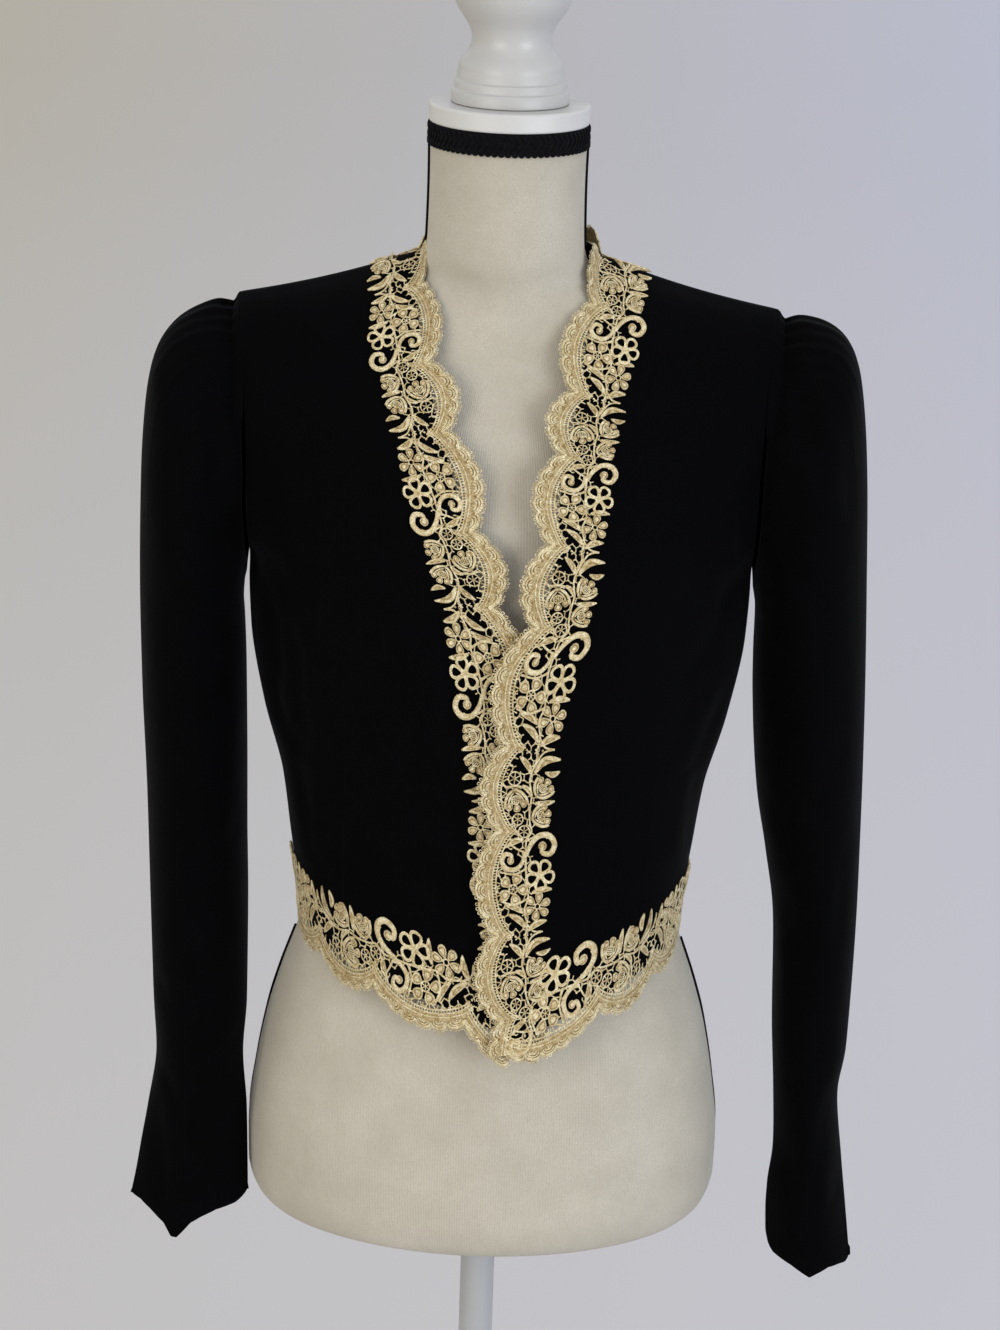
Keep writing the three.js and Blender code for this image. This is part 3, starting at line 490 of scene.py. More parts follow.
# ---------------------------------------------------------------------------------------------------
# Back. One velvet panel from side seam to side seam, shaped to the waist, with its top edge cut for
# the back of the neck and the two shoulder seams.
# ---------------------------------------------------------------------------------------------------
BACK_ROWS = np.array([
    (0.00, 93, 688, 129, 4, 692, 88),
    (0.07, 89, 712, 131.5, 4, 716, 88),
    (0.17, 84, 744, 135.5, 4, 746, 88),
    (0.27, 86, 787, 141, 4, 787, 88),
    (0.37, 95, 838, 154, 4, 836, 87),
    (0.47, 103, 888, 163, 4, 888, 84),
    (0.55, 107, 928, 164.5, 4, 925, 80),
    (0.62, 109, 965, 162.5, 41, 957, 66),
    (0.70, 109, 1003, 162, 54, 993, 58),
    (0.78, 105, 1042, 162.5, 54, 1029, 54),
    (0.86, 94, 1082, 165, 46, 1061, 52),
    (0.93, 78, 1116, 169.5, 33, 1087, 48),
    (0.97, 67, 1134, 171.5, 22, 1099, 40),
    (1.00, 57, 1147, 172.5, 8, 1106, 30),
])
NECK_SHARE = 1 / 3
NECK_POINT = (57, 7.5, 1137)


def back_generic(share, v):
    """The back before its top edge is cut to the neck: share is 0 at the centre and 1 at the side."""
    _, mid_y, mid_z, side_x, side_y, side_z, bend = row_values(BACK_ROWS, v)
    last = np.radians(bend)
    across = np.sin(share * last) / np.sin(last)
    around = (1 - np.cos(share * last)) / (1 - np.cos(last))
    seam = np.where(v < UNDERARM, 1, 1 - smooth_step(v, UNDERARM, 0.62) + smooth_step(v, 0.97, 1))
    return np.stack([
        side_x * across,
        mid_y + (side_y + SEAM / 2 * seam - mid_y) * around,
        mid_z + (side_z - mid_z) * across], -1)


def back_points(u, v):
    """Points of the back: u from -1 at the right side seam to 1 at the left one, v from the hem up."""
    u, v = np.broadcast_arrays(np.asarray(u, float), np.asarray(v, float))
    share = np.abs(u)
    point = back_generic(share, v)
    _, top_y, top_z, side_x, side_y, side_z, _ = BACK_ROWS[-1]
    angle = np.minimum(share / NECK_SHARE, 1) * np.pi / 2
    along = np.clip((share - NECK_SHARE) / (1 - NECK_SHARE), 0, 1)
    neck_x, neck_y, neck_z = NECK_POINT
    round_neck = np.stack([
        neck_x * np.sin(angle), neck_y + SEAM / 2 + (top_y - neck_y - SEAM / 2) * np.cos(angle),
        neck_z + (top_z - neck_z) * np.cos(angle) ** 2], -1)
    shoulder = np.stack([
        neck_x + (side_x - neck_x) * along, neck_y + (side_y - neck_y) * along + SEAM / 2,
        neck_z + (side_z - neck_z) * along - SHOULDER_SAG * np.sin(np.pi * along)], -1)
    edge = np.where((share < NECK_SHARE)[..., None], round_neck, shoulder)
    point = point + (edge - back_generic(share, np.ones_like(v))) * smooth_step(v, 0.8, 1)[..., None]
    point[..., 0] *= np.where(u < 0, -1, 1)
    return point


BACK_CREASES = [
    ([(-150, 955), (-138, 905), (-128, 850), (-118, 800)], 2.2, 7),
    ([(-112, 850), (-104, 800), (-100, 745)], 1.4, 8),
    ([(-138, 1050), (-120, 1005), (-88, 975)], 1.6, 10),
    ([(-62, 835), (-58, 790), (-66, 740)], 1.2, 10),
    ([(-20, 820), (-14, 780), (-22, 735)], 0.9, 11),
    ([(24, 830), (30, 785), (24, 740)], 1.0, 12),
    ([(72, 845), (66, 800), (72, 745)], 1.3, 9),
    ([(150, 950), (140, 905), (126, 855), (122, 800)], 2.2, 7),
    ([(112, 840), (106, 795), (104, 745)], 1.3, 8),
    ([(142, 1045), (124, 1010), (90, 985)], 1.5, 10),
]
back_surface = creased(back_points, BACK_CREASES, 1)
BACK_COLUMNS, BACK_LINES = 96, 108
u = spread(-1, 1, BACK_COLUMNS, [(-1.0, 0.015), (1.0, 0.015), (0.0, 0.006)])[:, None]
v = spread(0, 1, BACK_LINES, [(1.0, 0.008)])[None, :]
points = back_surface(u, v)
out = grid_out(points, -1)
to_side = lengths_along(points, 0)
to_side = np.minimum(to_side, to_side[-1:] - to_side)
to_top = lengths_along(points, 1)
to_top = np.where(np.abs(u) > NECK_SHARE, to_top[:, -1:] - to_top, 99)
points = rolled(points, out, np.minimum(to_side, to_top))
piece = cloth("velvet_back", points[::-1], False, velvet)
JACKET["back"] = piece
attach(piece, "root")
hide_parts("back")


# ---------------------------------------------------------------------------------------------------
# Sleeves. Each is one velvet tube, gathered by hand into the top of the armhole, narrowing to the
# wrist, where it ends in a short point over the hand. They hang straight down, with soft folds.
# ---------------------------------------------------------------------------------------------------
# The columns: length share, the inner side's x and height, the outer side's x and height, and the
# depth of the front and of the back.
SLEEVE_ROWS = {
    -1: np.array([
        (0.00, 167, 925, 173.5, 1106, -48, 55),
        (0.03, 167.5, 921, 184, 1105.5, -56, 63),
        (0.07, 168, 915, 199, 1099, -62, 69),
        (0.12, 168, 907, 215, 1086, -67, 72),
        (0.17, 168, 898, 226, 1066, -69, 72),
        (0.22, 167, 886, 231, 1038, -68, 70),
        (0.29, 166, 866, 234, 990, -66, 68),
        (0.37, 165.3, 836, 235, 925, -63, 65),
        (0.46, 164.5, 790, 233.5, 848, -61, 60),
        (0.55, 164, 742, 230.5, 776, -58, 54),
        (0.65, 162.8, 688, 228.3, 700, -55, 45),
        (0.76, 162.5, 621, 225.3, 621, -56, 31),
        (0.82, 164.3, 586, 223.4, 586, -56, 20),
        (0.88, 161.2, 547, 228.5, 547, -54, 10),
        (0.94, 160.2, 514, 234, 511, -52, 2),
        (1.00, 159.5, 486, 240, 480, -50, -6),
    ]),
    1: np.array([
        (0.00, 167, 925, 173.5, 1106, -48, 55),
        (0.03, 167.5, 921, 184, 1107, -56, 63),
        (0.07, 168, 915, 199, 1103.5, -62, 69),
        (0.12, 168.5, 906, 214, 1094, -67, 72),
        (0.17, 168.5, 896, 224.5, 1076, -69, 72),
        (0.22, 168.5, 883, 230, 1048, -68, 70),
        (0.29, 169, 862, 235, 1000, -66, 68),
        (0.37, 171, 830, 239, 935, -63, 65),
        (0.46, 176, 782, 243.5, 845, -61, 60),
        (0.55, 184, 740, 246, 770, -58, 54),
        (0.65, 192, 690, 247.5, 690, -55, 45),
        (0.76, 195, 616, 246, 606, -56, 31),
        (0.82, 198, 571, 242, 571, -56, 20),
        (0.88, 199.8, 531, 247, 525, -54, 10),
        (0.94, 197.6, 496, 252, 488, -52, 2),
        (1.00, 198.5, 464, 257, 450, -50, -6),
    ]),
}
# How far the edge of each cuff hangs down, by the angle round it.
CUFF_EDGE = {
    -1: [
        (0, 0), (35, 7), (60, 7.5), (75, 10.5), (86, 14.5), (94, 21), (100, 25.5), (106, 25), (114, 15),
        (130, 7), (146, 2), (180, 0),
    ],
    1: [
        (0, 0), (17, 6), (31, 9.5), (65, 10.4), (79, 12.5), (91, 14.5), (101, 10.5), (118, 5.2), (137, 4),
        (157, 4.4), (172, 2), (180, 0),
    ],
}
# Each gather at the sleeve's head: where it is round the armhole, in degrees, how deep, how wide
# and how long.
GATHERS = [
    (112, 1.6, 3.4, 0.055), (121, 2.4, 3.0, 0.075), (130, 1.9, 2.6, 0.06), (138, 2.8, 2.8, 0.085),
    (147, 2.2, 2.6, 0.065), (155, 3.0, 2.6, 0.09), (164, 2.4, 2.4, 0.07), (172, 3.1, 2.6, 0.09),
    (181, 2.5, 2.4, 0.075), (190, 3.0, 2.8, 0.085), (199, 2.3, 2.6, 0.065), (208, 2.8, 3.0, 0.085),
    (218, 2.1, 2.8, 0.06), (228, 2.5, 3.2, 0.075), (238, 1.7, 3.2, 0.055), (247, 2.0, 3.6, 0.06),
]


def armhole_points(a):
    """The edge of the armhole, by the angle round it."""
    climb = UNDERARM + (1 - UNDERARM) * np.where(a <= 180, a, 360 - a) / 180
    edge = np.where(
        (a <= 180)[..., None], front_points(1, np.ones_like(a), climb), back_points(np.ones_like(a), climb))
    edge[..., 0] += SEAM
    return edge


def sleeve_ring(side, a, w):
    _, in_x, in_z, out_x, out_z, front, back = row_values(SLEEVE_ROWS[side], w)
    out = (1 - np.cos(np.radians(a))) / 2
    swing = np.sin(np.radians(a))
    swing = np.sign(swing) * np.abs(swing) ** (1 + 0.9 * smooth_step(w, 0.74, 0.96))
    return np.stack([
        in_x + (out_x - in_x) * out, (front + back) / 2 - (back - front) / 2 * swing,
        in_z + (out_z - in_z) * out], -1)


def sleeve_points(side, a, w):
    """Points of a sleeve: a is the angle round it from the underarm over the front, w its length share."""
    a, w = np.broadcast_arrays(np.asarray(a, float) % 360, np.clip(np.asarray(w, float), 0, 1))
    point = sleeve_ring(side, a, w)
    fade = ((1 - smooth_step(w, 0, 0.2)) ** 2)[..., None]
    point = point + (armhole_points(a) - sleeve_ring(side, a, np.zeros_like(w))) * fade
    point[..., 2] -= smooth_step(w, 0.88, 1) * np.interp(a, *np.transpose(CUFF_EDGE[side]))
    point[..., 0] *= side
    return point


SLEEVE_CREASES = {
    -1: [
        ([(-172, 1112), (-194, 1092)], 1.8, 5),
        ([(-212, 1078), (-214, 1046)], 1.4, 6),
        ([(-179, 1092), (-182, 1055), (-179, 1031), (-178, 1016), (-184, 969), (-189, 940)], 2.6, 7),
        ([(-204, 1060), (-209, 1000), (-206, 940)], 1.6, 9),
        ([(-170, 990), (-173, 945)], 1.8, 6),
        ([(-206, 920), (-200, 870), (-205, 815)], 1.4, 11),
        ([(-178, 900), (-186, 860), (-183, 810)], 1.6, 9),
        ([(-168, 768), (-168, 744)], 1.2, 5),
        ([(-196, 760), (-190, 715), (-196, 670)], 1.3, 10),
        ([(-221, 650), (-212, 625)], 1.6, 6),
        ([(-214, 580), (-201, 542)], 2.0, 6),
        ([(-218, 565), (-219, 520), (-213, 478)], 1.8, 6),
        ([(-166, 612), (-168, 596)], 1.2, 5),
        ([(-188, 560), (-182, 525), (-190, 500)], 1.2, 8),
    ],
    1: [
        ([(172, 1116), (199, 1112)], 1.8, 5),
        ([(175, 1082), (187, 1050), (203, 1015)], 2.4, 8),
        ([(179, 973), (187, 955), (199, 938), (213, 904)], 2.2, 7),
        ([(214, 1056), (217, 1018), (222, 984)], 1.8, 7),
        ([(180, 900), (188, 850), (182, 805)], 1.4, 10),
        ([(216, 880), (222, 835), (216, 790)], 1.4, 10),
        ([(186, 792), (195, 742)], 1.5, 6),
        ([(194, 732), (204, 692), (210, 666), (224, 620), (230, 594)], 2.6, 8),
        ([(230, 765), (232, 720), (231, 688)], 1.6, 6),
        ([(206, 654), (209, 582)], 1.6, 7),
        ([(234, 590), (230, 552), (228, 518), (226, 485), (229, 462)], 2.0, 6),
        ([(211, 536), (221, 473)], 2.0, 7),
        ([(240, 524), (244, 494)], 1.2, 5),
    ],
}


def behind(creases):
    """The same kinds of crease on the back of a sleeve, a little shifted and weaker."""
    return [([(x * 0.97, z - 14) for x, z in line], deep * 0.8, wide * 1.15)
            for line, deep, wide in creases]


def sleeve_surface(side):
    def plain(a, w):
        return sleeve_points(side, a, w)

    def points(a, w):
        found = plain(a, w)
        a, w = np.broadcast_arrays(a, w)
        out = grid_out(np.concatenate([found[-1:], found, found[:1]]), -side)[1:-1]
        for facing, creases in [(-1, SLEEVE_CREASES[side]), (1, behind(SLEEVE_CREASES[side]))]:
            depth = sum(crease(found[..., 0], found[..., 2], *row) for row in creases)
            found = found + out * (depth * smooth_step(out[..., 1] * facing, 0.05, 0.45))[..., None]
        height = 0
        for at, deep, wide, long in GATHERS:
            gather = deep * (bell(a - at, wide) - 0.25)
            height = height + gather * smooth_step(w, 0, 0.008) * np.exp(-w / long)
        return found + out * (height * smooth_step(a, 95, 112) * (1 - smooth_step(a, 248, 268)))[..., None]
    return points


SLEEVE_LINES = 126
for side, name in [(-1, "right"), (1, "left")]:
    a = np.concatenate([
        np.linspace(0, 84, 22)[:-1], np.linspace(84, 118, 24)[:-1],
        np.linspace(118, 255, 68)[:-1], np.linspace(255, 360, 23)[:-1]])
    w = np.concatenate([[0, 0.002, 0.005, 0.009, 0.014], np.linspace(0.02, 1, SLEEVE_LINES), [0.9985, 1.0]])
    w = np.unique(np.round(w, 5))
    points = sleeve_surface(side)(a[:, None], w[None, :])
    out = grid_out(np.concatenate([points[-1:], points, points[:1]]), -side)[1:-1]
    from_seam = lengths_along(points, 1)
    to_cuff = from_seam[:, -1:] - from_seam
    points = rolled(points, out, from_seam, 1.2, 1.8)
    points = rolled(points, out, to_cuff, 0.6, 1.2)
    if side > 0:
        points = points[::-1]
    piece = cloth(f"velvet_sleeve_{name}", points, True, velvet)
    JACKET[f"sleeve_{name}"] = piece
    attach(piece, "root")
    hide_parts(f"sleeve_{name}")


# ---------------------------------------------------------------------------------------------------
# Lace. A gold guipure band, worked in metallic thread and then freed from its backing, is sewn over
# every free edge. One repeat has two lobes. It is made flat once, as small worked motifs, and laid on.
# ---------------------------------------------------------------------------------------------------
REPEAT = 124.0
rng = np.random.default_rng(7)


def thread(line, radius=0.5, flat=0.75, closed=False, sides=5, base=0.0):
    """A cord laid along a flat line, with rounded closed ends."""
    line = np.array(line, float)
    if line.shape[1] == 2:
        line = np.column_stack([line, np.zeros(len(line))])
    if closed:
        way = np.roll(line, -1, axis=0) - np.roll(line, 1, axis=0)
    else:
        way = np.gradient(line, axis=0)
    way = way[:, :2] / np.maximum(np.linalg.norm(way[:, :2], axis=1, keepdims=True), 1e-9)
    across = np.column_stack([-way[:, 1], way[:, 0]])
    angles = np.pi / 2 + np.arange(sides) * 2 * np.pi / sides
    radii = np.broadcast_to(np.asarray(radius, float), len(line))
    flat_points = line[:, None, :2] + across[:, None] * (radii[:, None] * np.cos(angles))[..., None]
    height = base + line[:, None, 2] + radii[:, None] * flat * (1 + np.sin(angles))
    # Painted light: each cord is lighter along its top and darker down its sides, a painted highlight and
    # painted shade kept with its points.
    relief_painted_light = np.broadcast_to(0.55 + 0.45 * np.sin(angles), height.shape)
    points = np.concatenate([flat_points, height[..., None], relief_painted_light[..., None]], -1).reshape(-1, 4)
    count = len(line)
    faces = []
    for i in range(count if closed else count - 1):
        k = (i + 1) % count
        for j in range(sides):
            m = (j + 1) % sides
            faces.append((i * sides + j, k * sides + j, k * sides + m))
            faces.append((i * sides + j, k * sides + m, i * sides + m))
    if not closed:
        last = (count - 1) * sides
        faces += [(0, j, j + 1) for j in range(1, sides - 1)]
        faces += [(last, last + j + 1, last + j) for j in range(1, sides - 1)]
    return points, np.array(faces)


def petal_line(centre, angle, length, width, count=14):
    """The outline of a petal, narrow at its root and broad at its tip."""
    phi = np.linspace(0, 2 * np.pi, count, endpoint=False)
    x = length / 2 * (1 + np.cos(phi))
    y = width / 2 * np.sin(phi) * (0.78 + 0.30 * np.cos(phi))
    turn = math.radians(angle)
    return np.column_stack([
        centre[0] + x * math.cos(turn) - y * math.sin(turn),
        centre[1] + x * math.sin(turn) + y * math.cos(turn)])


# The rings of a petal's filling: their painted lightness is painted shade on the low rim and a painted
# highlight on the raised top.
PETAL = ((1.0, 0.0, 0.1), (0.97, 0.6, 0.7), (0.83, 1.05, 1.0), (0.66, 0.55, 0.12), (0.36, 0.8, 0.6))


def pad(line, rings=PETAL, top=0.7, base=0.0):
    """A worked filling inside an outline: each ring's share, height and painted lightness, dark low on the
    rim as painted shade and light on the raised middle as a painted highlight.
    """
    line = np.array(line, float)
    middle = line.mean(0)
    count = len(line)
    levels = [
        np.column_stack(
            [middle + (line - middle) * share, np.full(count, base + height), np.full(count, light)])
              for share, height, light in rings]
    points = np.vstack(levels + [[(*middle, base + top, 0.6)], [(*middle, base, 0.1)]])
    faces = []
    for ring in range(len(rings) - 1):
        for j in range(count):
            k = (j + 1) % count
            a, b, c, d = ring * count + j, ring * count + k, (ring + 1) * count + k, (ring + 1) * count + j
            faces += [(a, b, c), (a, c, d)]
    inner = (len(rings) - 1) * count
    crown, floor = len(points) - 2, len(points) - 1
    for j in range(count):
        k = (j + 1) % count
        faces += [(inner + j, inner + k, crown), (k, j, floor)]
    return points, np.array(faces)


def joined(parts):
    """Several small meshes as one."""
    points, faces, count = [], [], 0
    for part_points, part_faces in parts:
        points.append(part_points)
        faces.append(part_faces + count)
        count += len(part_points)
    return np.vstack(points), np.vstack(faces)


def circle(centre, radius, count=12, squash=1.0):
    phi = np.linspace(0, 2 * np.pi, count, endpoint=False)
    return np.column_stack([centre[0] + radius * np.cos(phi), centre[1] + radius * squash * np.sin(phi)])


def away(centre, angle, distance):
    turn = math.radians(angle)
    return centre[0] + distance * math.cos(turn), centre[1] + distance * math.sin(turn)


def ring_flower(centre, turn):
    """Five open petals of thick cord round a small knot."""
    parts = [
        thread(petal_line(away(centre, turn + 72 * i, 1.7), turn + 72 * i, 8.6, 9.0, 16), 1.05, 0.62, True)
        for i in range(5)]
    return joined(parts + [pad(circle(centre, 2.2, 9), top=1.1)])


def daisy(centre, turn):
    """Six filled petals round an open eye."""
    parts = [pad(petal_line(away(centre, turn + 60 * i, 2.1), turn + 60 * i, 8.0, 7.0)) for i in range(6)]
    return joined(parts + [thread(circle(centre, 1.9, 10), 0.5, 0.7, True)])


def blossom(centre, turn):
    """Five round filled petals round a net eye."""
    parts = [pad(petal_line(away(centre, turn + 72 * i, 2.8), turn + 72 * i, 7.8, 9.2)) for i in range(5)]
    parts.append(thread(circle(centre, 3.0, 12), 0.5, 0.7, True))
    for angle in (0, 60, 120):
        ends = [away(centre, turn + angle, 2.9), away(centre, turn + angle + 180, 2.9)]
        parts.append(thread(ends, 0.3, 0.8, sides=4))
    return joined(parts)


def rose(centre, turn, size):
    """A half-open rose: a net heart, round petals over it, and long petals that clasp it from below."""
    def spot(x, y):
        return away(away(centre, turn, size * x), turn + 90, size * y)

    heart = [spot(0.17 * math.cos(a) - 0.05, 0.2 * math.sin(a)) for a in np.linspace(0, 6.28, 13)[:-1]]
    parts = [thread(heart, 0.42, 0.75, True)]
    for y in (-0.12, -0.04, 0.04, 0.12):
        parts.append(thread([spot(-0.19, y), spot(0.1, y + 0.03)], 0.26, 0.8, sides=4))
        parts.append(thread([spot(y * 0.9 - 0.05, -0.17), spot(y * 0.9 - 0.05, 0.17)], 0.26, 0.8, sides=4))
    for angle in (-62, 0, 62):
        root = spot(0.13 * math.cos(math.radians(angle)) - 0.02, 0.20 * math.sin(math.radians(angle)))
        parts.append(pad(petal_line(root, turn + angle * 0.8, size * 0.34, size * 0.40)))
    for side in (-1, 1):
        for reach, thick in ((1.0, 1.15), (0.66, 0.75)):
            line = [
                spot(-0.10 - 0.38 * reach, 0.03 * side), spot(-0.06 - 0.28 * reach, 0.27 * reach * side),
                spot(-0.02 - 0.06 * reach, 0.45 * reach * side), spot(0.20 * reach, 0.52 * reach * side)]
            share = np.linspace(0, 1, 10)
            swell = 0.45 + 0.55 * np.sin(np.pi * share) ** 0.6
            parts.append(thread(eased(line, 10), thick * swell, 0.6, sides=6))
    return joined(parts + [pad(circle(spot(-0.46, 0), size * 0.09, 9), top=1.2)])


def wheel(centre, radius):
    """A small spoked wheel."""
    parts = [
        thread(circle(centre, radius, 14), 0.5, 0.75, True), pad(circle(centre, radius * 0.28, 8), top=0.7)]
    for angle in range(0, 360, 60):
        parts.append(
            thread([away(centre, angle, radius * 0.2), away(centre, angle, radius)], 0.34, 0.8, sides=4))
    return joined(parts)


def leaf(start, end, width, bend=0.0):
    """A long filled leaf with a groove down its middle."""
    start, end = np.array(start, float), np.array(end, float)
    way = end - start
    across = np.array([-way[1], way[0]]) / np.linalg.norm(way)
    share = np.linspace(0, 1, 8)
    spine = start + way * share[:, None] + across * (bend * np.sin(np.pi * share))[:, None]
    half = width / 2 * np.sin(np.pi * np.clip(share * 0.9 + 0.06, 0, 1)) ** 0.7
    line = np.vstack([spine + across * half[:, None], (spine - across * half[:, None])[::-1]])
    # Painted shade and highlight: the leaf's rings are dark at the low rim, light on the ridge, and darker
    # again towards the middle groove.
    points, faces = pad(
        line[::-1], ((1.0, 0.0, 0.1), (0.96, 0.6, 0.7), (0.78, 1.0, 1.0), (0.42, 0.5, 0.2)), 0.45)
    return points, faces


def scroll(line, thick):
    """A padded scroll of cord that thickens in its middle and ends in a ball."""
    line = eased(line, 26)
    share = np.linspace(0, 1, 26)
    radius = thick * (0.45 + 0.55 * np.sin(np.pi * share) ** 0.6)
    return joined([thread(line, radius, 0.5, sides=7), pad(circle(line[-1], thick * 1.5, 10), top=1.1)])


# The line of small square eyelets that carries the scallops, and the edge of the lobes below it.
LOBES = [(0.0, 68.0, 6), (68.0, 124.0, 5)]


def eyelet_line(s):
    """The height of the eyelet line at a length along one repeat."""
    s = np.asarray(s, float) % REPEAT
    share = np.where(s < 68, s / 68, (s - 68) / 56)
    return 14 - 14.5 * np.sin(np.pi * np.clip(share, 0, 1)) ** 0.62


def lobe_edge(s):
    """The foot of the lobe, apart from the scallops."""
    s = np.asarray(s, float) % REPEAT
    share = np.where(s < 68, s / 68, (s - 68) / 56)
    return 3.2 - 12.6 * np.sin(np.pi * np.clip(share, 0, 1)) ** 0.8


def scallop(start, end):
    """One scallop: its eyelets, its filled fan, its edge cords and the loops round it."""
    middle, half = (start + end) / 2, (end - start) / 2
    s = np.linspace(start + 0.01, end - 0.01, 13)
    bulge = np.sqrt(np.clip(1 - ((s - middle) / half) ** 2, 0, 1))
    inner = eyelet_line(s)
    outer = lobe_edge(s) - 3.8 * bulge
    edge = np.column_stack([s, outer])
    parts = [
        thread(np.column_stack([s, inner]), 0.48, 0.8),
        thread(np.column_stack([s, inner - 2.4]), 0.48, 0.8),
        thread(edge, 0.8, 0.85, base=0.1),
    ]
    for share, radius in ((0.74, 0.55), (0.46, 0.6)):
        near = middle + (s - middle) * share
        arc = np.column_stack([near, lobe_edge(near) + 2.8 * (1 - share) - 3.8 * bulge * share])
        parts.append(thread(arc, radius, 0.8, sides=5, base=0.5))
    parts.append(pad(circle((middle, float(lobe_edge(middle)) + 1.0), 1.5, 9), top=1.5, base=0.3))
    parts.append(
        thread(np.column_stack([s, np.minimum(lobe_edge(s) + 4.0, inner - 2.6)]), 0.5, 0.8, base=0.4))
    for rung in np.linspace(start, end, 7)[:-1]:
        top = float(eyelet_line(rung))
        parts.append(thread([(rung, top), (rung, top - 2.4)], 0.42, 0.7, sides=4))
    across = (0, 0.25, 0.5, 0.75, 1.0)
    rows = [np.column_stack([s, inner - 2.4 - (inner - 2.4 - outer) * share]) for share in across]
    # Painted shade: the fan's filling gets low lightness values, darker than the cords round it and darkest
    # near the lobe's edge.
    top_points = np.vstack([
        np.column_stack([row, np.full(13, height), np.full(13, light)])
        for row, height, light in zip(rows, (0.25, 0.6, 0.66, 0.6, 0.3), (0.45, 0.35, 0.42, 0.30, 0.25))])
    flat_points = top_points.copy()
    flat_points[:, 2] = 0.05
    faces = []
    for row in range(4):
        for i in range(12):
            a, b, c, d = row * 13 + i, row * 13 + i + 1, (row + 1) * 13 + i + 1, (row + 1) * 13 + i
            faces += [(a, c, b), (a, d, c), (65 + a, 65 + b, 65 + c), (65 + a, 65 + c, 65 + d)]
    rim = [(i, i + 1) for i in range(12)] + [(12 + 13 * r, 25 + 13 * r) for r in range(4)]
    rim += [(52 + i + 1, 52 + i) for i in range(11, -1, -1)]
    rim += [(13 * (r + 1), 13 * r) for r in range(3, -1, -1)]
    for a, b in rim:
        faces += [(a, b, 65 + b), (a, 65 + b, 65 + a)]
    parts.append((np.vstack([top_points, flat_points]), np.array(faces)))
    way = np.gradient(edge, axis=0)
    way /= np.linalg.norm(way, axis=1, keepdims=True)
    lengths = np.concatenate([[0], np.cumsum(np.linalg.norm(np.diff(edge, axis=0), axis=1))])
    for place in np.arange(1.4, lengths[-1] - 1.0, 2.4):
        spot = np.array([np.interp(place, lengths, edge[:, i]) for i in (0, 1)])
        along = np.array([np.interp(place, lengths, way[:, i]) for i in (0, 1)])
        out_way = np.array([along[1], -along[0]])
        parts.append(thread(circle(spot + out_way * 1.6, 0.95, 7), 0.32, 0.8, True, sides=4))
    return joined(parts)


def net(area, motifs, side=3.3):
    """A honeycomb of fine bars with small knots, wherever no motif lies. area is (s from, s to, t to)."""
    s_from, s_to, t_to = area
    knots, bars = {}, []

    def corner(i, j, k):
        turn = math.radians(60 * k)
        x = s_from + (1.5 * i + math.cos(turn)) * side
        y = -2 + (math.sqrt(3) * (j + 0.5 * (i % 2)) + math.sin(turn)) * side
        key = (round(x * 2), round(y * 2))
        if key not in knots:
            knots[key] = np.array([x, y]) + rng.normal(size=2) * 0.35
        return knots[key]

    def free(p):
        return (p[1] > eyelet_line(p[0]) - 0.2 and p[1] < t_to
                and all(math.hypot(p[0] - c[0], p[1] - c[1]) > r for c, r in motifs))

    for i in range(int((s_to - s_from) / side / 1.5) + 1):
        for j in range(int((t_to + 2) / side / math.sqrt(3)) + 1):
            for k in (0, 1, 2):
                ends = corner(i, j, k), corner(i, j, k + 1)
                line = [ends[0] + (ends[1] - ends[0]) * share for share in np.linspace(0, 1, 6)]
                line = [p for p in line if free(p)]
                if len(line) > 2:
                    bars.append((tuple(line[len(line) // 2]), thread(line, 0.4, 0.8, sides=4)))
                # Each knot is painted dark at its foot and light on its top, as painted shade and a painted
                # highlight.
                if k == 0 and free(ends[0]):
                    bars.append((tuple(ends[0]),
                        pad(circle(ends[0], 0.85, 7), ((1.0, 0.0, 0.2), (0.8, 0.6, 0.9)), 0.7)))
    return bars


